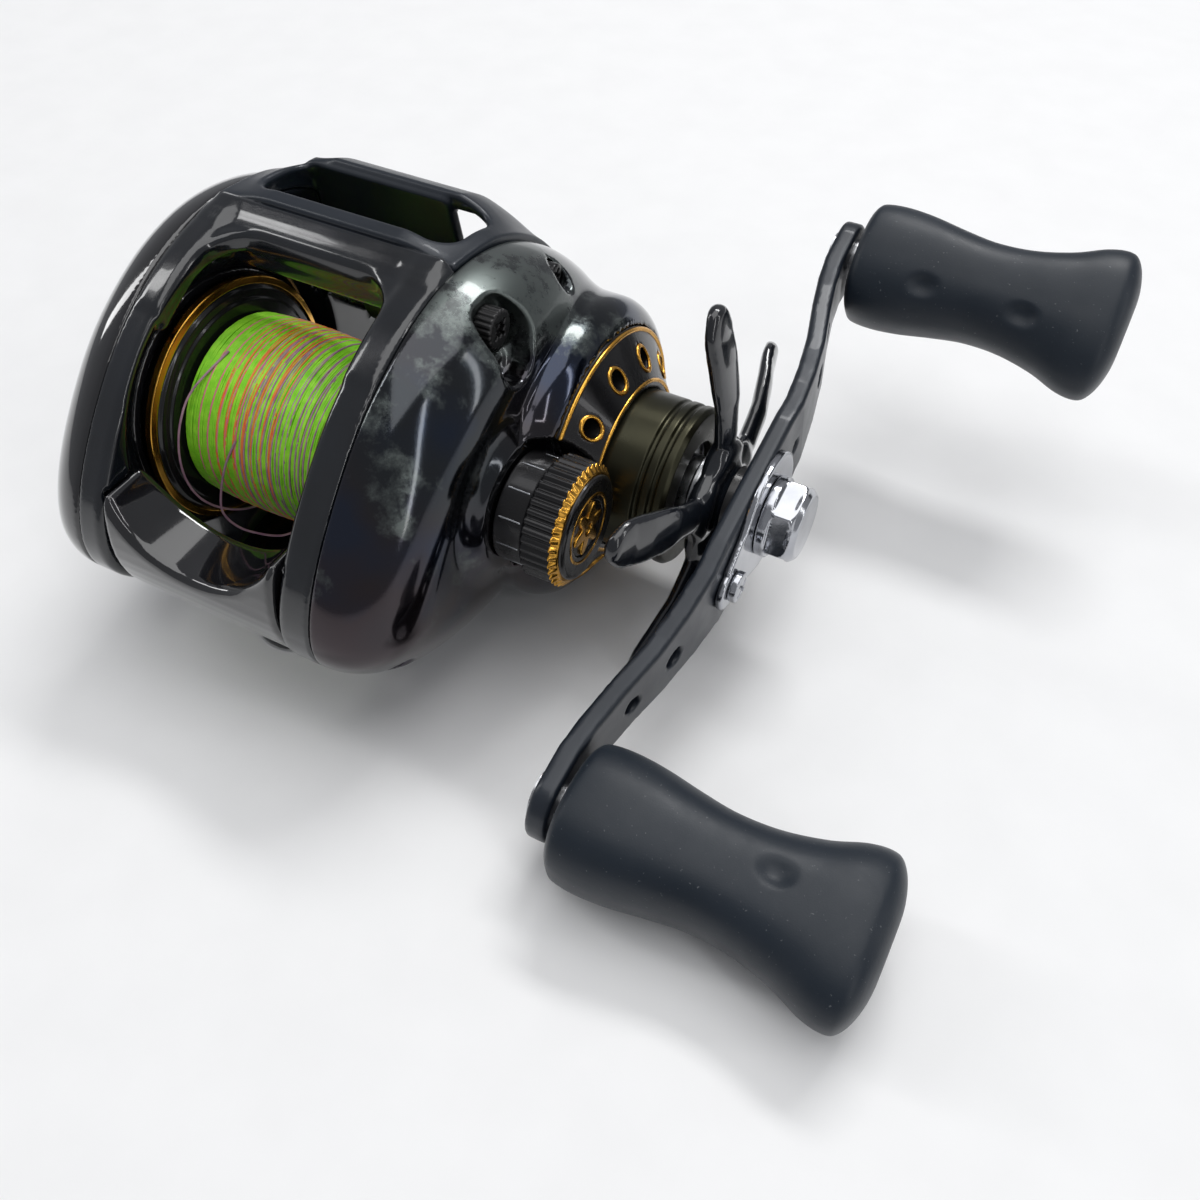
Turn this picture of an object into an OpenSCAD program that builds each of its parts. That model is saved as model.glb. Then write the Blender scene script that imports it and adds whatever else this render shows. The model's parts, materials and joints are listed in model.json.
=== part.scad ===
// Low-profile baitcasting fishing reel with the handle on the right.
// X runs along the spool axis to the handle, Y to the front (rod tip), Z up.
// The origin is the centre of the reel foot's flat underside.

/* [Frame] */
// Height of the spool axis above the foot's underside
axis_h = 25.5; // [25.4:0.1:26]
// Distance that the foot's centre lies in front of the spool axis
foot_y = 11; // [10:0.5:12]
// Length of the reel foot
foot_len = 59; // [56:1:60]
// Width of the reel foot
foot_w = 13; // [12:0.5:15]
// Radius of the spool opening in the side rings
spool_bore_r = 17.2; // [17.1:0.05:17.4]

/* [Spool] */
// Radius of the spool flanges
flange_r = 16.7; // [16.5:0.05:16.8]
// Radius of the spool arbor under the line
arbor_r = 9.5; // [8.5:0.1:10.5]
// Radius of the wound line at its crown
line_r = 12.7; // [12:0.1:13]
// Radius of the spool shaft
spool_shaft_r = 1.5; // [1.45:0.01:1.52]

/* [Handle] */
// Distance from the handle shaft to each knob post
handle_half = 46; // [44:0.5:48]
// Angle of the handle above the horizontal
handle_angle = 13.6; // [12:0.1:14]
// Length of a knob
knob_len = 38; // [36:0.5:39]

/* [Clutch] */
// Travel of the thumb bar
bar_travel = 3.5; // [3:0.1:3.5]
// Travel of the pinion and yoke
yoke_travel = 1.7; // [1.6:0.1:1.7]

/* [Hidden] */
$fn = 64;

// Gearing; these values only work together
drive_teeth = 76;       // teeth on the drive gear
pinion_teeth = 12;      // teeth on the pinion
drive_module = 0.44;    // module of the drive pair
drive_y = 18.4;         // distance that the handle shaft lies in front of the spool axis
idler_teeth = 32;       // teeth on the level-wind gear of the handle shaft
cog_teeth = 26;         // teeth on the worm's cog
wind_module = 0.5;      // module of the level-wind pair
worm_y = 22.2;          // distance that the worm lies in front of the spool axis

// Small shared sizes
eps = 0.01;
play = 0.02;          // radial gap of a part fixed in its seat
run = 0.06;           // radial gap of a running fit
pressure_angle = 20;
shift = 0.4;          // profile shift of the pinion, taken off the drive gear
backlash = 0.03;      // thinning of each tooth flank
floor_gap_z = -24;    // lowest point of the gear-side cover, below the spool axis

// Positions of the shafts, in Y and Z from the spool axis
drive_dist = drive_module * (drive_teeth + pinion_teeth) / 2;
drive_z = -sqrt(pow(drive_dist, 2) - pow(drive_y, 2));
wind_dist = wind_module * (idler_teeth + cog_teeth) / 2;
worm_z = drive_z + sqrt(pow(wind_dist, 2) - pow(worm_y - drive_y, 2));
bar_pos = [25.4, 1.0];      // guide bar
screw_pos = [6.4, 19.9];    // captive release screw
lug_pos = [-22.5, -2];      // thumb bar's lug
post_pos = [-4, 11.5];      // yoke post, mirrored in Z
shaft_r = 2;                // handle shaft
sleeve_r = 4.48;            // sleeve on the handle shaft

// Stations along X
palm_seam = -17;
gear_seam = 18;
ring_w = 4;                 // width of the palm-side ring
wall_x = 14.9;              // inner face of the gear-side wall
gear_x = 22.2;              // inner face of the drive gear
boss_x = 32.6;              // face of the drive boss
screw_seat_x = 21.4;        // seat of the cover screws' heads
housing_r = 8.8;            // housing of the cast cap
tube_x = 45.8;              // outer end of the bearing tube
arm_x = 55.6;               // outer face of the handle arm at its hub
arm_end_x = 50.6;           // outer face of the handle arm at its ends
arm_t = 2.7;                // thickness of the handle arm

// Outline of the body, as Y and Z from the spool axis, counter-clockwise from the rear
body_points = [
    [-28, -5], [-26, -10.8], [-19, -16.6], [-8, -20.6], [5, -22.2], [18, -22.4], [29, -20.2],
    [36, -12], [37.8, -1], [35, 9], [28, 17.2], [18.5, 22.6], [8.5, 24.4], [-1.5, 22.6],
    [-11.5, 17.4], [-19.5, 10.2], [-25.6, 2.2]
];
body_centre = [4, -1];
cover_screw_places = [[21.2, 18.3], [-21.5, -11.6]];

function spline(a, b, c, d, t) = 0.5 * (2 * b + (c - a) * t
    + (2 * a - 5 * b + 4 * c - d) * t * t + (3 * b - a - 3 * c + d) * t * t * t);
function smooth_loop(p, n) = let (m = len(p)) [for (i = [0:m - 1]) for (j = [0:n - 1])
    spline(p[(i + m - 1) % m], p[i], p[(i + 1) % m], p[(i + 2) % m], j / n)];
function smooth_path(p, n) = let (m = len(p) - 1) [for (i = [0:m * n])
    let (k = min(m - 1, floor(i / n)), t = i / n - k)
    spline(p[max(0, k - 1)], p[k], p[k + 1], p[min(m, k + 2)], t)];
function inset(p, k) = [for (q = p) body_centre + (q - body_centre) * k];

body_outline = smooth_loop(body_points, 3);

// Routes of the two slack loops of line, from the spool axis
left_loop = [
    [-8.5, -4, 12.2], [-10.6, -9.4, 9.2], [-11.3, -12.2, 5.9], [-11.6, -13.8, 1.8],
    [-11.6, -14.2, -2.4], [-11.2, -13.4, -6.2], [-10.4, -11.5, -9.2], [-9.2, -8.9, -11.2],
    [-8, -5.6, -12.2], [-7.2, -2.4, -12.7]
];
right_loop = [
    [-3.2, -11.6, 5.5], [-4.6, -13, 2.2], [-5.6, -14.2, -1.8], [-5.9, -14.8, -5.2],
    [-5.2, -13.8, -8.4], [-3.6, -12, -10.6], [-1.6, -10.2, -11.6], [0.2, -8.2, -11.2],
    [1.2, -6.2, -11.2], [1.8, -3.2, -12.4], [2.2, 0.4, -12.9]
];
line_d = 0.3;
loop_steps = 4;
tube_sides = 8;

// Involute gears
function inv(a) = tan(a) * 180 / PI - a;
function half_tooth(r, rb, psi) = psi + inv(pressure_angle) - inv(acos(min(1, rb / r)));
function gear_points(z, m, s) =
    let (
        rp = m * z / 2,
        rb = rp * cos(pressure_angle),
        ra = rp + m * (1 + s),
        rf = rp - m * (1.25 - s),
        r0 = max(rb, rf),
        psi = (90 + 2 * s * tan(pressure_angle) * 180 / PI) / z - backlash / rp * 180 / PI
    )
    [for (k = [0:z - 1]) for (side = [-1, 1]) for (i = [-1:3])
        let (
            j = side < 0 ? i : 2 - i,
            r = j < 0 ? rf : r0 + (ra - r0) * j / 3,
            a = k * 360 / z + side * half_tooth(max(r, r0), rb, psi)
        ) r * [cos(a), sin(a)]];
function mesh_angle() = atan2(-drive_z, -drive_y);
function wind_angle() = atan2(worm_z - drive_z, worm_y - drive_y);

// Placing. Profiles drawn in the plane lie in Y and Z and are extruded along X.
module at(y, z) {
    translate([0, y - foot_y, axis_h + z]) rotate([90, 0, 90]) children();
}
module on_spool() { at(0, 0) children(); }
module on_drive() { at(drive_y, drive_z) children(); }
module on_worm() { at(worm_y, worm_z) children(); }
module slab(x0, x1) {
    translate([0, 0, x0]) linear_extrude(x1 - x0) children();
}
module rod(x0, x1, r, fn = 64) {
    translate([0, 0, x0]) cylinder(h = x1 - x0, r = r, $fn = fn);
}
module ring(x0, x1, r, bore) {
    difference() {
        rod(x0, x1, r);
        rod(x0 - eps, x1 + eps, bore);
    }
}
module rod_at(p, x0, x1, r) {
    translate([p[0], p[1], 0]) rod(x0, x1, r);
}
module turned(points) {
    // points are [radius, x]
    rotate_extrude($fn = 96) polygon(points);
}
module screw(head_r, head_h, shank_r, shank) {
    // Head upwards from zero, shank downwards, with a cross slot
    difference() {
        cylinder(h = head_h, r = head_r, $fn = 32);
        for (a = [0, 90]) rotate(a) translate([-head_r * 0.6, -0.2, head_h - 0.5])
            cube([head_r * 1.2, 0.4, 1]);
    }
    translate([0, 0, -shank]) cylinder(h = shank + eps, r = shank_r, $fn = 32);
}
module ball_bearing(x0, x1, r, bore) {
    groove = (r + bore) / 2;
    difference() {
        ring(x0, x1, r, bore);
        for (x = [x0 - 0.1, x1 - 0.2]) ring(x, x + 0.3, groove + 0.5, groove - 0.5);
    }
}

// Frame
module spool_side(x0, x1, k = 1) { slab(x0, x1) polygon(inset(body_outline, k)); }
module arch_profile() {
    polygon([[4, 22.8], [6.4, 25], [8.5, 26], [9.6, 25.8], [9.6, 19], [8.2, 18.3], [5.4, 18.3],
        [3.2, 19.4]]);
}
// Top line of the hood at its middle and at its sides, and the line under its sides
hood_top = smooth_path([[8.5, 26.2], [14.5, 26.6], [20, 25.8], [25.4, 23.6], [30, 20], [34, 15],
    [37, 8.6]], 3);
hood_edge = smooth_path([[8.5, 25], [18.5, 23.4], [28, 18], [35, 9.8], [36.4, 6.6]], 3);
hood_under = smooth_path([[33.9, 7.9], [30, 13.8], [25.4, 17.8], [20, 20.9], [14, 22.9], [8.5, 23.8]], 3);
hood_t = 2.2;
module hood_room() {
    tip = hood_under[0];
    polygon(concat([[8.5 - play, 40], [50, 40], [50, tip[1] - play]],
        [for (p = hood_under) p - [play, play]]));
}
module foot() {
    tang = foot_len / 2;
    intersection() {
        translate([0, 0, -tang]) linear_extrude(foot_len)
            polygon([[-foot_w / 2, 0], [foot_w / 2, 0], [foot_w / 2, 0.9], [foot_w / 2 - 1.6, 2.2],
                [-foot_w / 2 + 1.6, 2.2], [-foot_w / 2, 0.9]]);
        // ends thin out and round off
        rotate([90, 90, 90]) translate([0, 0, -foot_w / 2]) linear_extrude(foot_w)
            polygon([[-tang, 0], [tang, 0], [tang, 0.9], [tang - 14, 2.2], [-tang + 14, 2.2],
                [-tang, 0.9]]);
    }
}
module thumb_slot() { translate([-24.6, -11.2]) square([4.8, 14.2]); }
module thumb_slide() { translate([-24.3, -7.4]) square([4.2, 10.1]); }
module frame() {
    color([0.07, 0.08, 0.11]) {
        // side rings, bridges and arch
        on_spool() difference() {
            union() {
                spool_side(palm_seam, palm_seam + ring_w);
                spool_side(wall_x - 1.5, gear_seam);
                // boss that the clutch cam turns on
                rod(gear_seam - eps, gear_seam + 0.95, 6.5);
                // bottom bridge under the spool
                slab(palm_seam + 1, gear_seam - 1) polygon([[-13, -19.9], [14, -19.9], [17, -18.6],
                    [17, -21.9], [-11, -21.9]]);
                // pedestal of the foot
                slab(-5.5, 5.5) polygon([[-11, -21], [17, -21], [24, -23.4], [-6, -23.4]]);
                // top arch
                slab(palm_seam + 1, gear_seam - 1) arch_profile();
                // lower front bar
                slab(palm_seam + 1, gear_seam - 1) polygon([[28.5, -4], [35.6, -4.4], [36.4, -1],
                    [35.2, 1.6], [31, 2.2], [28.5, 0]]);
            }
            // spool passage and flange recess
            rod(palm_seam - 1, palm_seam + ring_w + 1, spool_bore_r);
            rod(wall_x - 2, wall_x, spool_bore_r);
            // seats of the bearings and shafts
            rod(wall_x - 1, gear_seam - 0.3, 5.52);
            rod(gear_seam - 1, gear_seam + 2, 3.9);
            translate([drive_y, drive_z, 0]) rod(wall_x, gear_seam - 0.4, 4.52);
            translate([drive_y, drive_z, 0]) rod(wall_x, gear_seam + 1, 3);
            rod_at([worm_y, worm_z], palm_seam - 1, gear_seam + 1, 3.62);
            rod_at(bar_pos, palm_seam + 1, gear_seam - 1, 1.22);
            rod_at(screw_pos, palm_seam - 1, gear_seam + 1, 1.3);
            for (s = [-1, 1]) rod_at([post_pos[0], s * post_pos[1]], wall_x + 1, gear_seam + 1, 1.02);
            for (p = cover_screw_places) rod_at(p, gear_seam - 2, gear_seam + 1, 1.02);
            // guides of the thumb bar
            slab(palm_seam + 1.8, palm_seam + ring_w + 1) thumb_slot();
            slab(wall_x - 2, gear_seam + 1) polygon([[-24.1, -7.4], [-20.9, -7.4], [-20.9, 0.2],
                [-24.1, 0.2]]);
            slab(wall_x - 2, wall_x + 0.4) thumb_slot();
            // room for the hood
            slab(palm_seam - 1, gear_seam + 1) hood_room();
        }
        rotate([90, 0, 0]) foot();
    }
}
module hood() {
    under = [[28, 6], [8.5, 6]];
    color([0.09, 0.11, 0.15]) on_spool() difference() {
        hull() {
            slab(-9, 10) polygon(concat(hood_top, under));
            slab(palm_seam, palm_seam + 0.1) polygon(concat(hood_edge, under));
            slab(gear_seam - 0.1, gear_seam) polygon(concat(hood_edge, under));
        }
        // everything below the shell
        slab(palm_seam - 1, gear_seam + 1) polygon(concat([[60, -20], [60, hood_under[0][1]]],
            hood_under, [[0, 23.8], [0, -20]]));
        slab(-13, 13) polygon(concat([for (p = hood_top) p - [0, hood_t]], [[37, 0], [8, 0]]));
        // window over the line guide, and the front mouth
        slab(-13, 13) polygon([[11.2, 15], [22.4, 12], [22.4, 30], [11.2, 30]]);
        slab(-13, 13) polygon([[28.6, 0], [45, 0], [45, 40], [28.6, 40]]);
    }
}

// Gear-side cover
module dome(steps) {
    // steps are [x, scale of the outline]
    hull() for (s = steps) spool_side(s[0], s[0] + 0.1, s[1]);
}
module gear_side_cover() {
    color([0.16, 0.17, 0.2]) on_spool() difference() {
        union() {
            dome([[gear_seam, 1], [21, 0.985], [24, 0.94], [26.6, 0.865], [28.6, 0.74]]);
            // drive boss
            intersection() {
                translate([drive_y, drive_z, 0]) turned([[0, gear_seam], [20.4, gear_seam], [20.9, 29],
                    [20.2, 31.2], [18.6, boss_x], [0, boss_x]]);
                slab(gear_seam, boss_x + 1) polygon([[-20, floor_gap_z], [60, floor_gap_z], [60, 40],
                    [-20, 40]]);
            }
            // housing and threaded spigot of the cast cap
            turned([[0, 26], [10.5, 26], [housing_r, 29], [housing_r, 30.3], [6.2, 30.3], [6.2, 36.5],
                [0, 36.5]]);
        }
        // hollow for the gears
        difference() {
            union() {
                dome([[gear_seam - 0.2, 0.955], [23.2, 0.91], [26, 0.82]]);
                translate([drive_y, drive_z, 0]) rod(gear_seam - 0.2, 30.2, 19.2);
            }
            translate([-40, -40, 0]) cube([100, 40 + floor_gap_z + 0.6, 40]);
            // pillars of the cover screws
            for (p = cover_screw_places) rod_at(p, gear_seam - 2, 30, 2.6);
            // floor of the release screw's recess, and the root of the cap's housing
            rod_at([screw_pos[0] + 2, screw_pos[1] - 1.5], 20.6, 40, 8.4);
            rod(28.6, 40, 10.4);
        }
        // clearance around the cap
        ring(30.3, boss_x + 1, housing_r, 6.2);
        // seat of the boss plate and tube flange, around the cap's housing
        difference() {
            translate([drive_y, drive_z, 0]) rod(30, boss_x + 1, 18.22);
            rod(29, boss_x + 2, housing_r);
        }
        // bearing seat and shaft passage in the spigot
        rod(30.8, 37, 5.02);
        rod(20, 31, 3.6);
        ring(31.2, 32, 7, 5.75);
        // recess and finger scoop of the release screw
        rod_at(screw_pos, gear_seam - 1, 40, 1.3);
        rod_at(screw_pos, 22.2, 40, 3.6);
        translate([screw_pos[0] + 4, screw_pos[1] - 2.5, 28.5]) sphere(r = 5, $fn = 48);
        // screw seats
        for (p = cover_screw_places) rod_at(p, gear_seam - 1, screw_seat_x + 0.1, 1.02);
        for (p = cover_screw_places) rod_at(p, screw_seat_x, 40, 2.1);
    }
}
module cover_screws() {
    color([0.05, 0.05, 0.06]) on_spool() for (p = cover_screw_places)
        translate([p[0], p[1], screw_seat_x + play]) screw(1.9, 1.3, 1, 5);
}
module cap_notch() { translate([-drive_y, -drive_z, 0]) rod(29, 38, housing_r + play); }
module boss_plate() {
    color([0.05, 0.05, 0.06]) on_drive() difference() {
        turned([[10.94, 31.55], [18.2, 31.55], [18.2, 32.5], [17.7, 32.9], [12.1, 36.6], [10.94, 36.6]]);
        for (k = [0:11]) rotate(k * 30 + 4) translate([14.6, 0, 31]) cylinder(h = 8, r = 1.35, $fn = 32);
        cap_notch();
    }
}
module bearing_tube() {
    color([0.2, 0.2, 0.13]) on_drive() difference() {
        union() {
            rod(30.22, 31.5, 18.18);
            rod(31, tube_x, 10.9);
        }
        rod(30, 44.4, 8);
        rod(44, tube_x + 1, 6.4);
        for (x = [41.9, 43.9]) ring(x, x + 0.35, 12, 10.6);
        cap_notch();
    }
}

// Bearings and fixed internals
module pinion_bearing() {
    color("silver") on_spool() ball_bearing(wall_x, gear_seam - 0.32, 5.5, 3.66);
}
module shaft_bearing() {
    color("silver") on_drive() ball_bearing(wall_x + 0.1, gear_seam - 0.42, 4.5, shaft_r + play);
}
module one_way_bearing() {
    color([0.6, 0.6, 0.62]) on_drive() difference() {
        rod(33, 42, 7.98);
        rod(32, 43, 6.2);
        for (k = [0:7]) rotate(k * 45) translate([5.9, -0.5, 32]) cube([0.8, 1.6, 11]);
    }
}
module one_way_rollers() {
    color("silver") on_drive() for (k = [0:7]) rotate(k * 45) translate([5.34, 0, 33.2])
        cylinder(h = 8.6, r = 0.82, $fn = 24);
}
module outer_bearing() {
    color("silver") on_drive() ball_bearing(42.1, 44.38, 7.98, sleeve_r + play);
}
module cap_bearing() {
    color("silver") on_spool() ball_bearing(30.82, 34.8, 5, spool_shaft_r + run);
}
module worm_bushings() {
    color("white") on_worm() {
        ring(palm_seam + 0.4, palm_seam + 2.8, 3.6, 1.26);
        ring(wall_x + 0.4, gear_seam - 0.2, 3.6, 1.26);
    }
}
module worm_tube() {
    color([0.1, 0.1, 0.12]) on_worm() difference() {
        ring(palm_seam + 2.9, wall_x + 0.3, 3.5, 2.7);
        // slot for the pawl, along the underside
        translate([-1, -4, palm_seam + 4.6]) cube([2, 4, wall_x - palm_seam - 6.2]);
    }
}
module guide_bar() {
    color("silver") on_spool() rod_at(bar_pos, palm_seam + 1.1, gear_seam - 1.1, 1.2);
}
module yoke_posts() {
    color("silver") on_spool() for (s = [-1, 1]) rod_at([post_pos[0], s * post_pos[1]], wall_x + 1.05,
        26, 1);
}
module yoke_springs() {
    color("silver") on_spool() for (s = [-1, 1]) translate([post_pos[0], s * post_pos[1], 0])
        coil(1.55, 0.4, 20.35, 25.4, 4);
}
module clutch_spring() {
    color("silver") on_spool() translate([-13.5, -10, 0]) {
        coil(1.8, 0.4, gear_seam + 0.3, gear_seam + 2.2, 3);
        rod(gear_seam, gear_seam + 2.4, 1.2, 32);
    }
}

// Palm side
module palm_side_cover() {
    color([0.04, 0.04, 0.05]) on_spool() difference() {
        union() {
            difference() {
                dome([[palm_seam - 0.12, 1], [-20.5, 0.985], [-22.8, 0.93], [-24.2, 0.84], [-24.8, 0.72]]);
                dome([[palm_seam + 0.1, 0.935], [-21.6, 0.9], [-23, 0.82]]);
            }
            // spigot that centres the cover in the frame
            ring(-23.6, -15.4, spool_bore_r - 0.1, 15.9);
            // bearing housing
            ring(-23.6, -18.2, 6.9, 5.52);
            // nut of the release screw
            rod_at(screw_pos, -23.4, palm_seam, 2.4);
        }
        rod(-30, -20, 2.6);
        rod_at(screw_pos, -20.5, -14, 1.3);
    }
}
module palm_bearing() {
    color("silver") on_spool() ball_bearing(-21.8, -18.2, 5.5, spool_shaft_r + run);
}
module brake_dial() {
    teeth = 36;
    color([0.1, 0.1, 0.12]) on_spool() {
        translate([0, 0, -27]) linear_extrude(2) polygon([for (i = [0:2 * teeth - 1])
            (i % 2 == 0 ? 10.4 : 9.8) * [cos(i * 180 / teeth), sin(i * 180 / teeth)]]);
        rod(-27.6, -27, 8.6);
        rod(-25.1, -22.2, 2.5);
    }
}
module magnet_ring() {
    color([0.1, 0.1, 0.1]) on_spool() difference() {
        ring(-18.2, -16.2, 12.6, 7);
        for (k = [0:7]) rotate(k * 45) translate([9.8, 0, -17.2]) cylinder(h = 3, r = 2.02, $fn = 32);
    }
}
module brake_magnets() {
    color("silver") on_spool() for (k = [0:7]) rotate(k * 45) translate([9.8, 0, -17.18])
        cylinder(h = 1.6, r = 2, $fn = 32);
}
module release_screw() {
    knurl = 20;
    color([0.08, 0.08, 0.09]) on_spool() translate([screw_pos[0], screw_pos[1], 0]) {
        rod(-20.4, 22.6, 1.2);
        difference() {
            translate([0, 0, 22.6]) linear_extrude(3.4) polygon([for (i = [0:2 * knurl - 1])
                (i % 2 == 0 ? 2.9 : 2.6) * [cos(i * 180 / knurl), sin(i * 180 / knurl)]]);
            translate([-3, -0.5, 25]) cube([6, 1, 2]);
        }
    }
}

// Spool and line
module spool() {
    color([0.06, 0.06, 0.07]) on_spool() difference() {
        turned([
            [spool_shaft_r, -13.2], [13.6, -13.2], [15.2, -14], [flange_r, -14], [flange_r, -13.2],
                [15.4, -12.4],
            [arbor_r, -12], [arbor_r, 11], [15.4, 11.4], [flange_r, 12.2], [flange_r, 13], [15.2, 13],
                [13.6, 12.2],
            [spool_shaft_r, 12.2]
        ]);
        // hollow ends of the arbor
        ring(-14, -11, 8, 3);
        ring(10, 14, 8, 3);
    }
}
module spool_shaft() {
    color("silver") on_spool() difference() {
        rod(-21.6, 36.55, spool_shaft_r - play);
        translate([-3, 0, 16.6]) rotate([0, 90, 0]) cylinder(h = 6, r = 0.72, $fn = 24);
    }
}
module cross_pin() {
    color("silver") on_spool() translate([-3.2, 0, 16.6]) rotate([0, 90, 0])
        cylinder(h = 6.4, r = 0.7, $fn = 24);
}
module wound_line() {
    color([0.4, 0.75, 0.1]) on_spool() turned([
        [arbor_r + play, -11.6], [11.9, -11.7], [12.5, -10], [line_r, -7], [line_r, -2], [12.5, 4], [12, 8],
        [11.4, 10.6], [arbor_r + play, 10.6]
    ]);
}
function unit(v) = v / norm(v);
module tube_along(path, width, across) {
    n = len(path);
    rings = [for (i = [0:n - 1])
        let (
            d = unit(path[min(n - 1, i + 1)] - path[max(0, i - 1)]),
            u = unit(cross(d, across)),
            v = cross(d, u)
        )
        for (k = [0:tube_sides - 1])
            path[i] + width / 2 * (u * cos(k * 360 / tube_sides) + v * sin(k * 360 / tube_sides))];
    sides = [for (i = [0:n - 2]) for (k = [0:tube_sides - 1])
        let (a = i * tube_sides + k, b = i * tube_sides + (k + 1) % tube_sides)
        [a, a + tube_sides, b + tube_sides, b]];
    ends = [[for (k = [0:tube_sides - 1]) k],
        [for (k = [0:tube_sides - 1]) n * tube_sides - 1 - k]];
    polyhedron(points = rings, faces = concat(sides, ends));
}
module line_tube(route) {
    translate([0, -foot_y, axis_h]) tube_along(smooth_path(route, loop_steps), line_d, [1, 0, 0]);
}
module coil(r, wire, x0, x1, turns) {
    steps = turns * 14;
    path = [for (i = [0:steps])
        [r * cos(i * 360 / 14), r * sin(i * 360 / 14), x0 + (x1 - x0) * i / steps]];
    tube_along(path, wire, [0, 0, 1]);
}
module line_loop_left() { color([0.75, 0.5, 0.7]) line_tube(left_loop); }
module line_loop_right() { color([0.75, 0.5, 0.7]) line_tube(right_loop); }

// Clutch
module pinion() {
    color([0.75, 0.6, 0.3]) on_spool() difference() {
        union() {
            rod(15.6, 18.9, 3.6);
            rod(18.8, 20.3, 2.2);
            rotate(mesh_angle() + 180 + 180 / pinion_teeth) slab(20.2, 28.4)
                polygon(gear_points(pinion_teeth, drive_module, shift));
        }
        rod(15, 29, spool_shaft_r + run);
        // slot for the spool's cross pin
        translate([-4, -0.95, 15]) cube([8, 1.9, 2.5]);
    }
}
module yoke() {
    color([0.75, 0.75, 0.7]) on_spool() difference() {
        slab(19, 20.1) polygon([[-5.6, -13.6], [-1.4, -13.6], [2, -8], [2, 8], [-1.4, 13.6],
            [-5.6, 13.6], [-5, 4], [-5, -4]]);
        rod(18, 21, 2.3);
        slab(18, 21) polygon([[0, -2.3], [3, -2.3], [3, 2.3], [0, 2.3]]);
        for (s = [-1, 1]) rod_at([post_pos[0], s * post_pos[1]], 18, 21, 1.1);
    }
}
module clutch_cam() {
    rise = 1.6;
    lead = 0.75;
    color([0.55, 0.5, 0.4]) on_spool() {
        difference() {
            union() {
                ring(gear_seam + 0.1, 18.9, 9.6, 6.6);
                slab(gear_seam + 0.1, 18.9) polygon([[-8, -3.6], [-8, 3], [-24, 0.2], [-24, -4.2]]);
            }
            rod(gear_seam, 20, 6.6);
            // slot for the thumb bar's lug
            slab(gear_seam, 20) polygon([[-25, -3.12], [-20.9, -3.12], [-20.9, -0.88], [-25, -0.88]]);
        }
        // ramps that lift the yoke, each ending just short of its wing
        for (a = [65, 214]) rotate(a) translate([6.9, 0, 0]) rotate([90, 0, 90])
            linear_extrude(2.3) polygon([[-3, 18.8], [0.7, 18.8], [0.7 - lead, 18.9 + rise],
                [-3, 18.9 + rise]]);
    }
}
module thumb_bar() {
    color([0.05, 0.05, 0.06]) on_spool() {
        difference() {
            slab(-12.6, 13) polygon(smooth_loop([[-18.9, 3.4], [-19, -8], [-21.2, -13], [-25.4, -11.4],
                [-27.6, -4.5], [-25.6, 4.2], [-21.6, 5.8]], 3));
            // thumb scoop, a cylinder lying front to back
            translate([-40, 10.6, 0.2]) rotate([0, 90, 0]) cylinder(h = 40, r = 14, $fn = 96);
        }
        // slides in the side rings
        slab(-14.9, -12.5) thumb_slide();
        slab(12.9, wall_x + 0.2) thumb_slide();
        // lug that turns the clutch cam
        rod_at(lug_pos, wall_x, 19.3, 1);
    }
}

// Handle shaft and drive
module main_shaft() {
    color("silver") on_drive() {
        rod(wall_x + 0.2, 57.6, shaft_r);
        rod(gear_seam + 0.05, 18.55, 4);
    }
}
module wind_gear() {
    color([0.9, 0.9, 0.85]) on_drive() rotate(wind_angle()) difference() {
        slab(18.6, 20.1) polygon(gear_points(idler_teeth, wind_module, 0));
        rod(18, 21, shaft_r + play);
    }
}
module ratchet() {
    teeth = 10;
    color("silver") on_drive() difference() {
        slab(20.2, 21.4) polygon([for (i = [0:2 * teeth - 1])
            (i % 2 == 0 ? 7.8 : 6.6) * [cos(i * 180 / teeth + (i % 2) * 14),
                sin(i * 180 / teeth + (i % 2) * 14)]]);
        rod(20, 22, shaft_r + play);
    }
}
module under_gear_washer() {
    color([0.2, 0.2, 0.2]) on_drive() ring(21.45, 22.15, 11.6, shaft_r + play);
}
module drive_gear() {
    color([0.8, 0.65, 0.3]) on_drive() difference() {
        rotate(mesh_angle()) slab(gear_x, gear_x + 3.8)
            polygon(gear_points(drive_teeth, drive_module, -shift));
        rod(gear_x - 1, gear_x + 5, 2.6);
        rod(gear_x + 1.4, gear_x + 5, 12.2);
        // lightening holes
        for (k = [0:5]) rotate(k * 60) translate([7.4, 0, gear_x - 1]) cylinder(h = 5, r = 1.6, $fn = 32);
    }
}
module drag_washers() {
    color([0.25, 0.25, 0.25]) on_drive() {
        ring(23.62, 24.1, 12, 3);
        ring(24.86, 25.34, 12, 3);
    }
}
module key_washers() {
    color("silver") on_drive() {
        ring(24.12, 24.84, 11.9, 2.6);
        ring(25.36, 26.1, 11.4, 2.6);
    }
}
module shaft_sleeve() {
    color("silver") on_drive() {
        ring(26.12, 46.4, sleeve_r, shaft_r + play);
        ring(26.12, 27.2, 7, shaft_r + play);
    }
}
module drag_springs() {
    color("silver") on_drive() {
        turned([[2.1, 46.45], [5.4, 46.9], [5.4, 47.2], [2.1, 46.75]]);
        turned([[2.1, 47.75], [5.4, 47.25], [5.4, 47.55], [2.1, 48.05]]);
    }
}
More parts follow.
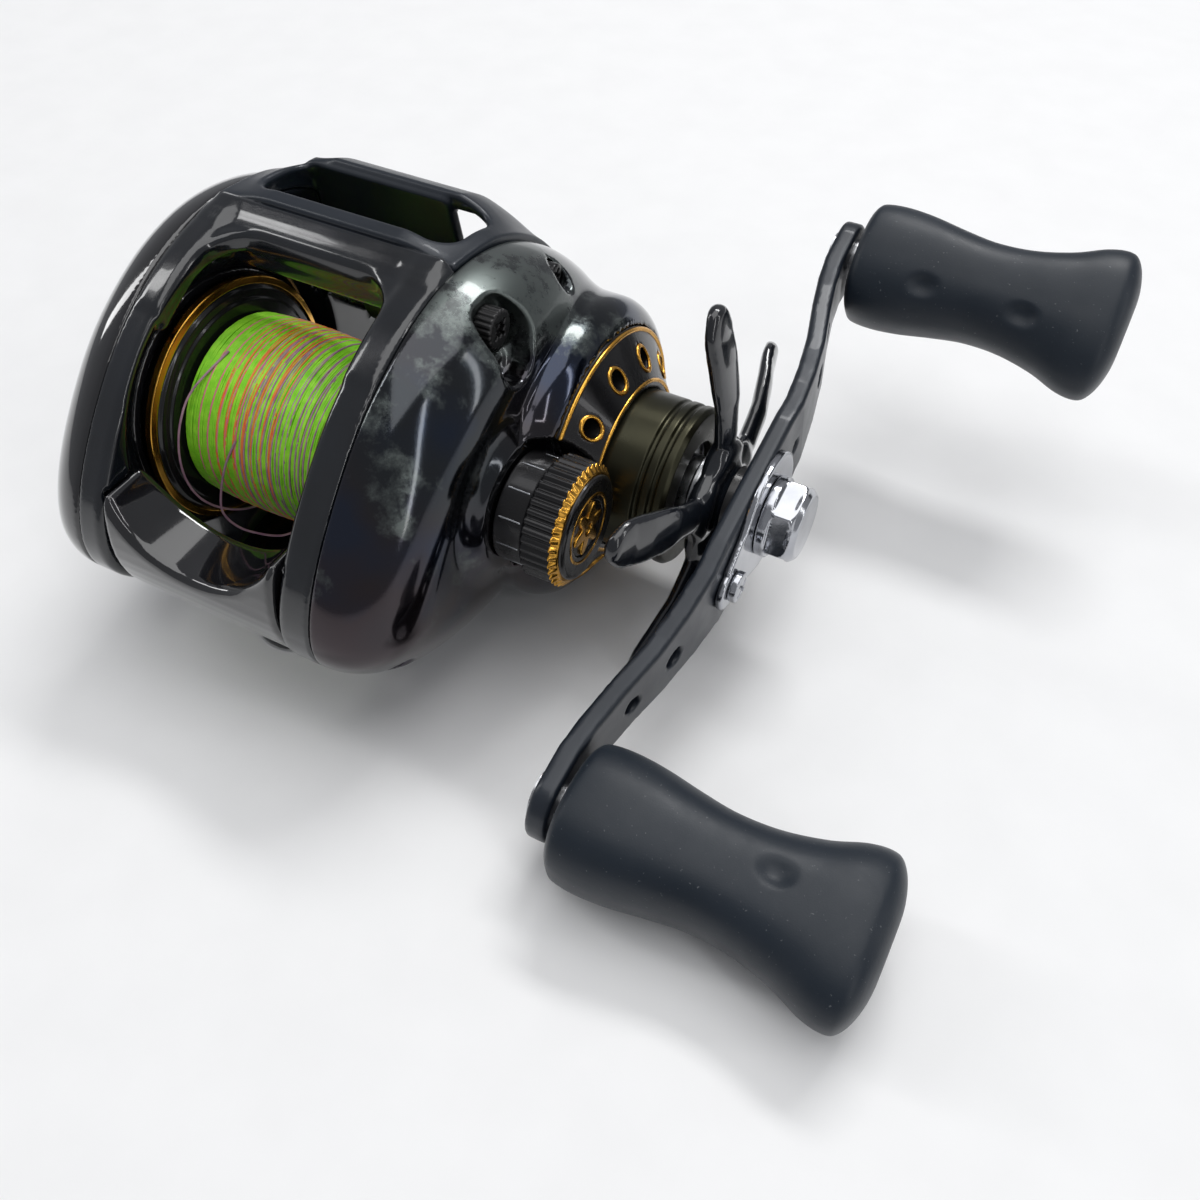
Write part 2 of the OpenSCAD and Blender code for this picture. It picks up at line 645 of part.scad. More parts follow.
module star_drag() {
    arms = 5;
    color([0.05, 0.05, 0.06]) on_drive() difference() {
        union() {
            turned([[0, 48.1], [7.2, 48.1], [8, 49], [7.4, 50.6], [4.4, 51.4], [0, 51.4]]);
            for (k = [0:arms - 1]) rotate(12.3 + k * 360 / arms) hull() {
                translate([5.5, 0, 49.4]) sphere(r = 1.3, $fn = 16);
                translate([14, 0, 48.9]) sphere(r = 1.3, $fn = 16);
                for (s = [-1, 1]) translate([20, s * 2.4, 47.2]) sphere(r = 1, $fn = 16);
                translate([25.6, 0, 46]) sphere(r = 1, $fn = 16);
            }
        }
        rod(45, 52, shaft_r + run);
        rod(40, 48.1, 11.4);
    }
}
module handle_spacer() {
    color([0.1, 0.1, 0.1]) on_drive() ring(51.5, arm_x - arm_t - play, 5, shaft_r + play);
}

// Handle
module on_arm(s = 0) {
    translate([0, drive_y - foot_y, axis_h + drive_z]) rotate([handle_angle, 0, 0]) translate([0, s, 0])
        rotate([90, 0, 90]) children();
}
// Edge-on line of the arm's outer face and half of its width, by distance from the handle shaft
arm_end_r = 5;
arm_side = [[14, arm_x], [20, 54.9], [26, 53.8], [32, 52.2], [37, 51.1], [41, arm_end_x], [52, arm_end_x]];
arm_plan = [[36, 4.4], [24, 5], [10, 7], [-10, 7], [-24, 5], [-36, 4.4]];
arm_end = [for (a = [-90:15:90]) [handle_half + arm_end_r * cos(a), arm_end_r * sin(a)]];
function flipped(p, k) = [for (i = [len(p) - 1:-1:0]) [p[i][0] * k[0], p[i][1] * k[1]]];
module handle_arm() {
    outer = concat(flipped(arm_side, [-1, 1]), arm_side);
    color([0.09, 0.11, 0.15]) on_arm() difference() {
        intersection() {
            translate([0, 10, 0]) rotate([90, 0, 0]) linear_extrude(20)
                polygon(concat(outer, [for (q = flipped(outer, [1, 1])) q - [0, arm_t]]));
            translate([0, 0, 40]) linear_extrude(20)
                polygon(concat(arm_end, arm_plan, [for (p = arm_end) -p], [for (p = arm_plan) -p]));
        }
        rod(50, 60, shaft_r + play);
        for (s = [-1, 1]) {
            translate([s * 11.5, 0, 0]) rod(50, 60, 1.02, 32);
            translate([s * 23.7, 0, 0]) rod(45, 60, 1.5, 32);
            translate([s * 31.5, 0, 0]) rod(45, 60, 1.3, 32);
            translate([s * handle_half, 0, 0]) rod(45, 60, 2.02);
        }
    }
}
module handle_nut() {
    color("silver") on_drive() difference() {
        union() {
            rod(arm_x + 1.05, arm_x + 2.4, 5.4);
            rotate(handle_angle) translate([0, 0, arm_x + 2.3]) cylinder(h = 3.1, r = 5.6, $fn = 6);
            rotate(handle_angle) translate([0, 0, arm_x + 5.3])
                cylinder(h = 0.9, r1 = 5.2, r2 = 4.2, $fn = 48);
        }
        rod(arm_x, arm_x + 2.1, shaft_r + play);
    }
}
module nut_keeper() {
    color("silver") on_arm() difference() {
        translate([0, 0, arm_x]) linear_extrude(1) {
            circle(r = 8.6, $fn = 48);
            polygon([[-15, -2.4], [-12.5, -3.2], [0, -8], [0, 8], [-12.5, 3.2], [-15, 2.4]]);
        }
        rod(arm_x - 1, arm_x + 2, 2.4);
        translate([-11.5, 0, 0]) rod(arm_x - 1, arm_x + 2, 1.1, 32);
    }
}
module keeper_screw() {
    color("silver") on_arm() translate([-11.5, 0, arm_x + 1.01]) screw(2.1, 1.3, 1, 3.4);
}
module knob_posts() {
    color("silver") for (s = [-1, 1]) on_arm(s * handle_half) {
        rod(arm_end_x - arm_t - 0.6, arm_end_x - arm_t, 3.2);
        rod(arm_end_x - arm_t - 0.1, arm_end_x + 33, 2);
        rod(arm_end_x, arm_end_x + 0.5, 3);
    }
}
knob_x = arm_end_x + 1;     // inner end of a knob
module knob(spin) {
    // a round bar that flares to its outer end, with two flats
    wide = 10.6;
    thick = 14.8;
    difference() {
        rotate(spin) intersection() {
            knob_round(wide);
            translate([-12, -thick / 2, 0]) cube([24, thick, 100]);
        }
        rod(knob_x - 1, knob_x + knob_len - 4, 2.3);
        for (x = [knob_x - 1, knob_x + knob_len - 8.5]) rod(x, x + 4.5, 3.52);
    }
}
module knob_round(wide) {
    turned([for (p = [[0, 0], [6, 0], [7.9, 1.2], [8.6, 4.5], [8.3, 8.5], [7.4, 13.5], [6.9, 18],
        [7.2, 23], [8.4, 28],
        [wide - 0.4, 32.6], [wide, 34.8], [wide - 1.2, 36.8], [6, knob_len], [0, knob_len]]) [p[0],
            knob_x + p[1]]]);
}
module knob_bearings(s) {
    color("silver") on_arm(s * handle_half) {
        ball_bearing(knob_x + 0.4, knob_x + 3.4, 3.5, 2 + run);
        ball_bearing(knob_x + knob_len - 8.4, knob_x + knob_len - 5.6, 3.5, 2 + run);
    }
}
module front_knob() { color([0.1, 0.13, 0.18]) on_arm(handle_half) knob(24); }
module rear_knob() { color([0.1, 0.13, 0.18]) on_arm(-handle_half) knob(-5.6); }
module front_knob_bearings() { knob_bearings(1); }
module rear_knob_bearings() { knob_bearings(-1); }

// Level wind
module worm_shaft() {
    worm_r = 2.3;
    worm_turns = 9;
    color("silver") on_worm() {
        // crossed left-hand and right-hand grooves
        difference() {
            rod(palm_seam + 3.2, 14.1, worm_r);
            for (i = [0:worm_turns - 1]) for (hand = [-1, 1])
                translate([0, 0, palm_seam + 5.4 + i * 3]) rotate([hand * 28, 0, 0])
                    ring(-0.45, 0.45, 4, 1.8);
        }
        rod(palm_seam + 0.5, palm_seam + 3.3, 1.2);
        rod(14, 20.6, 1.2);
    }
}
module worm_cog() {
    color("white") on_worm() rotate(wind_angle() + 180 + 180 / cog_teeth) difference() {
        slab(18.6, 20.1) polygon(gear_points(cog_teeth, wind_module, 0));
        rod(18, 21, 1.22);
    }
}
eye = [3.8, 4.6];           // centre of the guide's eye, from the worm
module line_guide() {
    color([0.1, 0.1, 0.12]) on_worm() difference() {
        union() {
            rod(-4, 4, 5);
            slab(-3, 3) polygon([[-4, 0], [5, 0], [5.6, -9.2], [-2.6, -9.2]]);
            slab(-3.2, 3.2) polygon([[2.4, 0], [4.8, 0], [4.8, 3], [2.4, 3]]);
            translate([eye[0], eye[1], 0]) rotate([0, 90, 0]) cylinder(h = 2.2, r = 4.5);
        }
        rod(-5, 5, 3.56);
        translate([bar_pos[0] - worm_y, bar_pos[1] - worm_z, 0]) rod(-5, 5, 1.26);
        translate([0, eye[1], 0]) rotate([0, 90, 0]) cylinder(h = 8, r = 3.6);
        // bore of the pawl and seat of its cap
        rotate([90, 0, 0]) cylinder(h = 20, r = 0.92);
        rotate([90, 0, 0]) translate([0, 0, 8.58]) cylinder(h = 2, r = 1.62);
    }
}
module guide_insert() {
    color([0.7, 0.7, 0.75]) on_worm() translate([eye[0] - 0.2, eye[1], 0]) rotate([0, 90, 0])
        ring(0, 2.6, 3.58, 3.02);
}
module pawl() {
    // its tip follows the worm's groove through the tube's slot
    color("silver") on_worm() rotate([90, 0, 0]) {
        translate([0, 0, 2.45]) cylinder(h = 6.2, r = 0.9);
        translate([0, 0, 8.6]) cylinder(h = 1.2, r = 1.6);
    }
}
// Cast control cap
module cast_cap() {
    knurl = 40;
    color([0.06, 0.06, 0.07]) on_spool() difference() {
        union() {
            rod(30.5, 34.6, 7.1);
            translate([0, 0, 34.5]) linear_extrude(4.3) polygon([for (i = [0:2 * knurl - 1])
                (i % 2 == 0 ? 7.9 : 7.45) * [cos(i * 180 / knurl), sin(i * 180 / knurl)]]);
            turned([[0, 38.7], [7.5, 38.7], [7.5, 39.15], [6.75, 39.9], [0, 39.9]]);
        }
        rod(30, 37.2, 6.26);
    }
}

frame();
hood();
gear_side_cover();
boss_plate();
bearing_tube();
cover_screws();
pinion_bearing();
shaft_bearing();
one_way_bearing();
one_way_rollers();
outer_bearing();
cap_bearing();
pawl();
worm_bushings();
worm_tube();
guide_bar();
yoke_posts();
yoke_springs();
clutch_spring();
palm_side_cover();
palm_bearing();
brake_dial();
magnet_ring();
brake_magnets();
release_screw();
spool();
spool_shaft();
cross_pin();
wound_line();
line_loop_left();
line_loop_right();
pinion();
yoke();
clutch_cam();
thumb_bar();
main_shaft();
drive_gear();
wind_gear();
ratchet();
under_gear_washer();
drag_washers();
key_washers();
shaft_sleeve();
drag_springs();
handle_spacer();
handle_arm();
handle_nut();
nut_keeper();
keeper_screw();
knob_posts();
star_drag();
front_knob();
front_knob_bearings();
rear_knob();
rear_knob_bearings();
worm_shaft();
worm_cog();
line_guide();
guide_insert();
cast_cap();
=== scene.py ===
import json
import math
import bpy
import numpy as np
from mathutils import Matrix, Vector


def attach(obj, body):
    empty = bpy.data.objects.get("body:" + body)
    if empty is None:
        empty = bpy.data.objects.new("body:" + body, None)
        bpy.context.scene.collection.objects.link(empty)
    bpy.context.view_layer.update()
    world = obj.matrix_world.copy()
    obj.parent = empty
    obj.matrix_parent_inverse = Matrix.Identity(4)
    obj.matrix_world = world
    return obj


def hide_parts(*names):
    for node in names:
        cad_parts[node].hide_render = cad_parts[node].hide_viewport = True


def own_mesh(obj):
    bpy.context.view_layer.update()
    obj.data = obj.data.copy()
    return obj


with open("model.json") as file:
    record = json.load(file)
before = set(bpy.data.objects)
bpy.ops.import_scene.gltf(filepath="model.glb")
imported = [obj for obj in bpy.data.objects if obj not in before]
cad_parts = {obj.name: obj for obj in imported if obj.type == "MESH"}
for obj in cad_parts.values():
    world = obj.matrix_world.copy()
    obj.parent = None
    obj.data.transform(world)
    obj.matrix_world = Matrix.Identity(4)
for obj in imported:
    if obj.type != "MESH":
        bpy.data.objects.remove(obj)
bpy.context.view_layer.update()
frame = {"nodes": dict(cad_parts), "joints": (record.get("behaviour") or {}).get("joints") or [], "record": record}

# A low-profile baitcasting reel. Profiles and fields are in millimetres from a point on the spool's axis
# or on the handle's: X runs along the axis towards the handle, Y forwards and Z up.

# -------- shared places
MM = 0.001
joints = {j["name"]: j for j in frame["joints"]}


def joint_place(name):
    return Vector(joints[name]["pos_m"]) / MM


SPOOL = joint_place("spool_spin")
DRIVE_Y, DRIVE_Z = (joint_place("handle_turn") - SPOOL).yz
WORM_Y, WORM_Z = (joint_place("worm_spin") - SPOOL).yz
SCREW_Y, SCREW_Z = (joint_place("release_screw_turn") - SPOOL).yz
knob_arm = joint_place("front_knob_spin") - joint_place("handle_turn")
HANDLE_HALF = knob_arm.length
HANDLE_ANGLE = math.degrees(math.atan2(knob_arm.z, knob_arm.y))
# along the spool's axis: the frame's two seams, and the outer faces of the covers, bulge and neck
PALM_SEAM = -17.0
GEAR_SEAM = 18.0
PALM_FACE = -24.95
GEAR_FACE = 28.4
BULGE_FACE = 32.75
NECK_FACE = 30.3
# the frame's rings, and the screws of the gear cover as (forwards, up) from the spool
RING_W = 4.0
GEAR_RING_W = 4.6
BORE_R = 17.2
COVER_SCREWS = [(21.2, 18.3), (-21.5, -11.6)]
SCREW_SEAT_X = 21.4
# outer face of the handle's plate at the nut and at the knobs, and its thickness
ARM_X = 55.6
ARM_END_X = 50.6
ARM_T = 2.7
KNOB_X = ARM_END_X + 1
KNOB_LEN = 38.0


def place(y=0.0, z=0.0, turn=0.0, x=0.0):
    """Matrix to the shared frame's metres, from millimetres about a line along X."""
    shift = Matrix.Translation((x, y + SPOOL.y, z + SPOOL.z))
    return Matrix.Scale(MM, 4) @ shift @ Matrix.Rotation(math.radians(turn), 4, "X")


ON_SPOOL = place()
ON_DRIVE = place(DRIVE_Y, DRIVE_Z)
ON_HANDLE = place(DRIVE_Y, DRIVE_Z, HANDLE_ANGLE)

# -------- camera
scene = bpy.context.scene


def add_camera(azimuth=27.66, elevation=48.87, spot=(86.4, -96.8, 124.1), lens=34.25):
    a, e = math.radians(azimuth), math.radians(elevation)
    right = Vector((math.cos(a), math.sin(a), 0))
    back = Vector((math.sin(a) * math.cos(e), -math.cos(a) * math.cos(e), math.sin(e)))
    turn = Matrix((right, back.cross(right), back)).transposed().to_4x4()
    camera = bpy.data.objects.new("camera", bpy.data.cameras.new("camera"))
    camera.matrix_world = Matrix.Translation(Vector(spot) * MM) @ turn
    camera.data.sensor_width = 36
    camera.data.lens = lens
    camera.data.clip_start = 0.005
    scene.collection.objects.link(camera)
    scene.camera = camera


add_camera()


# -------- materials
class Nodes:
    """A material's node tree with short calls."""

    def __init__(self, name):
        self.material = bpy.data.materials.new(name)
        self.material.use_nodes = True
        self.tree = self.material.node_tree
        self.shader = self.tree.nodes["Principled BSDF"]
        self.place = self.add("ShaderNodeTexCoord").outputs["Object"]

    def add(self, kind, **settings):
        node = self.tree.nodes.new(kind)
        for key, value in settings.items():
            setattr(node, key, value)
        return node

    def link(self, a, b):
        self.tree.links.new(a, b)

    def noise(self, scale, detail=3.0, rough=0.5, stretch=None):
        """Noise between 0 and 1, with the scale in cells to the metre."""
        node = self.add("ShaderNodeTexNoise")
        node.inputs["Scale"].default_value = scale
        node.inputs["Detail"].default_value = detail
        node.inputs["Roughness"].default_value = rough
        where = self.place
        if stretch:
            mapping = self.add("ShaderNodeMapping")
            mapping.inputs["Scale"].default_value = stretch
            self.link(where, mapping.inputs["Vector"])
            where = mapping.outputs["Vector"]
        self.link(where, node.inputs["Vector"])
        return node.outputs["Fac"]

    def spread(self, value, low, high, to_low, to_high):
        """Maps the range from low to high onto another."""
        node = self.add("ShaderNodeMapRange")
        for key, number in zip(("From Min", "From Max", "To Min", "To Max"), (low, high, to_low, to_high)):
            node.inputs[key].default_value = number
        self.link(value, node.inputs["Value"])
        return node.outputs["Result"]

    def mix(self, factor, a, b):
        node = self.add("ShaderNodeMix", data_type="RGBA")
        self.link(factor, node.inputs["Factor"])
        for key, colour in (("A", a), ("B", b)):
            socket = [s for s in node.inputs if s.name == key and s.type == "RGBA"][0]
            if isinstance(colour, tuple):
                socket.default_value = (*colour, 1)
            else:
                self.link(colour, socket)
        return [s for s in node.outputs if s.type == "RGBA"][0]

    def bump(self, height, distance, strength=1.0):
        node = self.add("ShaderNodeBump")
        node.inputs["Strength"].default_value = strength
        node.inputs["Distance"].default_value = distance * MM
        self.link(height, node.inputs["Height"])
        self.link(node.outputs["Normal"], self.shader.inputs["Normal"])

    def set(self, **values):
        for key, value in values.items():
            self.shader.inputs[key.replace("_", " ").title().replace("Ior", "IOR")].default_value = value

    def put(self, key, output):
        self.link(output, self.shader.inputs[key])


def finish(name, colour, other, rough, metallic=0.0, coat=0.0, grain=900.0, depth=0.01, patch=90.0,
           stretch=None):
    """Two shades in soft patches, roughness that varies, and a fine grain."""
    m = Nodes(name)
    m.set(metallic=metallic, coat_weight=coat, coat_roughness=0.04)
    m.put("Base Color", m.mix(m.spread(m.noise(patch, 4), 0.35, 0.68, 0, 1), colour, other))
    m.put("Roughness", m.spread(m.noise(patch * 2.3, 4), 0.3, 0.7, rough[0], rough[1]))
    m.bump(m.noise(grain, 3, 0.6, stretch), depth)
    return m.material


LOOKS = {
    "frame_black": finish(
        "gloss_black_paint", (0.004, 0.005, 0.007), (0.008, 0.010, 0.014), (0.10, 0.22),
        coat=0.6, grain=1400, depth=0.004),
    "hood_satin": finish(
        "satin_blue_black", (0.008, 0.012, 0.019), (0.013, 0.018, 0.027), (0.32, 0.42),
        metallic=0.2, coat=0.15, grain=2600, depth=0.008),
    "palm_gloss": finish(
        "gloss_black_shell", (0.004, 0.004, 0.005), (0.009, 0.009, 0.011), (0.06, 0.13),
        coat=1.0, grain=1500, depth=0.003),
    "plate_black": finish(
        "black_anodised", (0.012, 0.012, 0.014), (0.022, 0.021, 0.021), (0.20, 0.32),
        metallic=0.55, coat=0.2, grain=2400, depth=0.004),
    "tube_olive": finish(
        "olive_anodised", (0.026, 0.026, 0.017), (0.040, 0.038, 0.022), (0.26, 0.38),
        metallic=0.85, grain=700, depth=0.006, stretch=(1, 0.02, 0.02)),
    "spool_anodised": finish(
        "spool_black", (0.010, 0.010, 0.011), (0.020, 0.020, 0.021), (0.16, 0.26),
        metallic=0.5, coat=0.3, depth=0.004),
    "screw_black": finish(
        "black_oxide", (0.015, 0.015, 0.017), (0.035, 0.034, 0.034), (0.24, 0.42),
        metallic=0.7, coat=0.1, grain=1600),
    "steel": finish(
        "ground_steel", (0.42, 0.43, 0.45), (0.56, 0.56, 0.57), (0.20, 0.34),
        metallic=1.0, grain=1200, depth=0.004, patch=120),
    "chrome": finish(
        "polished_chrome", (0.52, 0.53, 0.56), (0.40, 0.41, 0.44), (0.09, 0.22),
        metallic=1.0, grain=1100, depth=0.006, patch=160),
    "brass": finish(
        "machined_brass", (0.70, 0.50, 0.20), (0.55, 0.38, 0.14), (0.18, 0.32),
        metallic=1.0, grain=1300, depth=0.006, patch=120),
    "inner_plastic": finish(
        "moulded_black", (0.012, 0.013, 0.015), (0.024, 0.025, 0.027), (0.30, 0.46),
        coat=0.1, grain=1900),
    "white_nylon": finish(
        "white_nylon", (0.62, 0.61, 0.55), (0.72, 0.71, 0.66), (0.40, 0.52),
        grain=1500, depth=0.008),
    "carbon_felt": finish(
        "carbon_washer", (0.020, 0.020, 0.021), (0.060, 0.060, 0.060), (0.45, 0.62),
        grain=2200, depth=0.02, patch=1500),
    "insert": finish(
        "polished_insert", (0.34, 0.35, 0.37), (0.44, 0.45, 0.47), (0.08, 0.16),
        metallic=1.0, depth=0.003),
    "star_gloss": finish(
        "gloss_star", (0.004, 0.005, 0.008), (0.008, 0.010, 0.014), (0.12, 0.24),
        metallic=0.1, coat=0.7, grain=1200, depth=0.005),
    "braid": finish(
        "braid_green", (0.22, 0.66, 0.012), (0.36, 0.80, 0.035), (0.50, 0.62),
        grain=5200, depth=0.06, patch=700),
}


def chrome_cover():
    """Black chrome with a shifting violet and blue tint, and grey-green patches that are partly wear and partly a
    painted reflection of the bright ceiling.
    """
    m = Nodes("black_chrome")
    m.set(metallic=0.92, coat_weight=0.5, coat_roughness=0.06)
    tint = m.mix(m.spread(m.noise(34, 2), 0.40, 0.60, 0, 1), (0.024, 0.028, 0.033), (0.034, 0.024, 0.028))
    tint = m.mix(m.spread(m.noise(70, 2), 0.50, 0.64, 0, 0.8), tint, (0.016, 0.026, 0.052))
    # painted reflection: the top of the cover, in metres above the foot, is painted a lighter grey-green than its
    # lower part, as if it caught the bright ceiling; the noise adds patches of wear
    split = m.add("ShaderNodeSeparateXYZ")
    m.link(m.place, split.inputs["Vector"])
    high = m.spread(split.outputs["Z"], 0.033, 0.048, -0.09, 0.12)
    sum_up = m.add("ShaderNodeMath", operation="ADD")
    m.link(high, sum_up.inputs[0])
    m.link(m.noise(60, 8, 0.72), sum_up.inputs[1])
    wear_and_painted_sheen = m.spread(sum_up.outputs[0], 0.52, 0.62, 0, 1)
    # grey-green colour for worn chrome and for a painted reflection of the ceiling, more of it towards the top
    m.put("Base Color", m.mix(wear_and_painted_sheen, tint, (0.115, 0.132, 0.126)))
    m.put("Roughness", m.spread(wear_and_painted_sheen, 0, 1, 0.10, 0.34))
    m.bump(m.noise(1500, 6, 0.7), 0.012, 0.6)
    return m.material


def soft_knob():
    """Soft-touch coating with fine dust and light scuffs."""
    m = Nodes("soft_touch_slate")
    m.set(coat_weight=0.05, coat_roughness=0.4, specular_ior_level=0.35)
    m.set(sheen_weight=0.06, sheen_roughness=0.4)
    shade = m.spread(m.noise(60, 3), 0.3, 0.7, 0, 1)
    body = m.mix(shade, (0.0065, 0.0115, 0.0190), (0.0095, 0.0155, 0.0245))
    specks = m.spread(m.noise(2600, 2, 0.5), 0.70, 0.76, 0, 0.5)
    m.put("Base Color", m.mix(specks, body, (0.14, 0.15, 0.16)))
    m.put("Roughness", m.spread(m.noise(140, 6, 0.65), 0.3, 0.7, 0.36, 0.52))
    m.bump(m.noise(5200, 2, 0.5), 0.012, 0.7)
    return m.material


LOOKS["cover_chrome"] = chrome_cover()
LOOKS["knob_soft"] = soft_knob()
GOLD = finish("gold_anodised", (0.78, 0.42, 0.075), (0.62, 0.31, 0.045), (0.16, 0.28),
              metallic=1.0, grain=1500, depth=0.004, patch=140)


def dyed_line(name, colour, other):
    """Braid of another colour, with the same weave as the green one."""
    return finish(name, colour, other, (0.5, 0.62), grain=5200, depth=0.06, patch=700)


LINE_ORANGE = dyed_line("braid_orange", (0.85, 0.16, 0.04), (0.75, 0.26, 0.05))
LINE_PINK = dyed_line("braid_pink", (0.75, 0.16, 0.26), (0.62, 0.26, 0.24))
LINE_MAUVE = dyed_line("braid_mauve", (0.34, 0.17, 0.27), (0.46, 0.28, 0.34))

slots = {p["node"]: p["material_slot"] for p in frame["record"]["subparts"]}
for node, obj in frame["nodes"].items():
    obj.data.materials.clear()
    obj.data.materials.append(LOOKS[slots[node]])


# -------- making meshes
def add_piece(name, mesh, body, slot, nodes=(), look=None):
    """Adds a mesh that rides a body and stands for CAD nodes, in its slot's look or in another."""
    mesh.materials.append(look or LOOKS[slot])
    piece = bpy.data.objects.new(name, mesh)
    scene.collection.objects.link(piece)
    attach(piece, body)
    if nodes:
        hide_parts(*nodes)
    return piece


def fast_mesh(name, points, faces, matrix):
    """A mesh from arrays of points and of quads or triangles."""
    spots = np.c_[points, np.ones(len(points))] @ np.array(matrix).T
    mesh = bpy.data.meshes.new(name)
    mesh.vertices.add(len(points))
    mesh.vertices.foreach_set("co", spots[:, :3].ravel())
    sides = faces.shape[1]
    mesh.loops.add(faces.size)
    mesh.loops.foreach_set("vertex_index", faces.ravel())
    mesh.polygons.add(len(faces))
    mesh.polygons.foreach_set("loop_start", np.arange(0, faces.size, sides))
    mesh.polygons.foreach_set("loop_total", np.full(len(faces), sides))
    mesh.polygons.foreach_set("use_smooth", np.full(len(faces), True))
    mesh.update(calc_edges=True)
    mesh.validate()
    return mesh


def surface_net(field, low, high, step):
    """Quads on the zero surface of a distance field, one vertex in each cell that it crosses."""
    axes = [np.arange(a, b + step, step) for a, b in zip(low, high)]
    size = [len(a) for a in axes]
    grid = field(axes[0][:, None, None], axes[1][None, :, None], axes[2][None, None, :])
    grid = np.broadcast_to(grid, size)
    inside = grid < 0
    cells = [n - 1 for n in size]
    corners = [(i, j, k) for i in (0, 1) for j in (0, 1) for k in (0, 1)]

    def corner(a, c):
        return a[c[0]:c[0] + cells[0], c[1]:c[1] + cells[1], c[2]:c[2] + cells[2]]

    count = sum(corner(inside, c).astype(np.int8) for c in corners)
    active = (count > 0) & (count < 8)
    index = np.full(active.shape, -1)
    where = np.argwhere(active)
    index[active] = np.arange(len(where))
    values = np.stack([corner(grid, c)[active] for c in corners], 1)
    total = np.zeros((len(where), 3))
    hits = np.zeros(len(where))
    for a, c in enumerate(corners):
        for axis in range(3):
            if c[axis]:
                continue
            b = a + (4, 2, 1)[axis]
            crossing = (values[:, a] < 0) != (values[:, b] < 0)
            t = np.where(crossing, values[:, a] / np.where(crossing, values[:, a] - values[:, b], 1), 0)
            spot = np.tile(np.array(c, float), (len(where), 1))
            spot[:, axis] += t
            total += spot * crossing[:, None]
            hits += crossing
    points = np.array([a[0] for a in axes]) + (where + total / hits[:, None]) * step
    points = settle(field, points, step)
    quads = []
    for axis in range(3):
        u, w = (axis + 1) % 3, (axis + 2) % 3
        first, second = [slice(1, -1)] * 3, [slice(1, -1)] * 3
        first[axis], second[axis] = slice(0, -1), slice(1, None)
        a, b = inside[tuple(first)], inside[tuple(second)]
        spots = np.argwhere(a != b)
        outward = a[tuple(spots.T)]
        spots[:, u] += 1
        spots[:, w] += 1
        ring = []
        for du, dw in ((0, 0), (1, 0), (1, 1), (0, 1)):
            cell = spots.copy()
            cell[:, u] -= du
            cell[:, w] -= dw
            ring.append(index[tuple(cell.T)])
        ring = np.stack(ring, 1)
        ring[~outward] = ring[~outward][:, ::-1]
        quads.append(ring)
    return points, np.concatenate(quads)


def settle(field, points, step):
    """Moves points onto the surface along the field's slope."""
    h = 0.03
    for _ in range(3):
        x, y, z = points.T
        d = field(x, y, z)
        slope = np.stack([
            field(x + h, y, z) - field(x - h, y, z),
            field(x, y + h, z) - field(x, y - h, z),
            field(x, y, z + h) - field(x, y, z - h),
        ], 1) / (2 * h)
        push = d / np.maximum((slope ** 2).sum(1), 0.2)
        points = points - np.clip(push, -0.6 * step, 0.6 * step)[:, None] * slope
    return points


def shape(name, field, low, high, step, matrix, body, slot, nodes=(), look=None):
    """A piece whose surface is where a distance field is zero, inside the box from low to high."""
    points, quads = surface_net(field, low, high, step)
    return add_piece(name, fast_mesh(name, points, quads, matrix), body, slot, nodes, look)


def lathe_mesh(name, profile, matrix, steps=128, teeth=0):
    """Turns a closed profile of (radius, x, tooth depth) about X, with its corners rounded a little."""
    line = [(*p, 0.0)[:3] for p in profile]
    area = sum(a[1] * b[0] - b[1] * a[0] for a, b in zip(line, line[1:] + line[:1]))
    if area < 0:
        line = line[::-1]
    line = soften(line)
    n = len(line)
    r, x, deep = np.array(line).T
    if teeth:
        steps = teeth * 6
    angle = np.arange(steps) * 2 * math.pi / steps
    wave = np.clip(-1.6 * np.cos(angle * teeth), 0, 1) if teeth else angle * 0
    reach = r[None] - wave[:, None] * deep[None]
    points = np.stack([
        np.repeat(x[None], steps, 0),
        np.cos(angle)[:, None] * reach,
        np.sin(angle)[:, None] * reach,
    ], -1).reshape(-1, 3)
    i, j = np.meshgrid(np.arange(steps), np.arange(n), indexing="ij")
    nx, ny = (i + 1) % steps, (j + 1) % n
    quads = np.stack([i * n + j, i * n + ny, nx * n + ny, nx * n + j], -1).reshape(-1, 4)
    return fast_mesh(name, points, quads, matrix)


def lathe(name, profile, matrix, body, slot, nodes=(), look=None, **options):
    """A turned piece."""
    return add_piece(name, lathe_mesh(name, profile, matrix, **options), body, slot, nodes, look)


def soften(profile, cut=0.12):
    """Replaces each corner of a closed profile by a short round, with a point beside it on long stretches."""
    out = []
    count = len(profile)
    for k in range(count):
        here, before, after = (np.array(profile[i % count], float) for i in (k, k - 1, k + 1))
        ends = []
        for other in (before, after):
            far = np.linalg.norm(other - here)
            ends.append(here + (other - here) * min(cut / far, 0.3))
            if far > 5 * cut:
                ends.append(here + (other - here) * 2 * cut / far)
            else:
                ends.append(None)
        spots = ends[1], ends[0], (ends[0] + ends[2]) / 4 + here / 2, ends[2], ends[3]
        out += [p for p in spots if p is not None]
    return [tuple(p) for p in out]


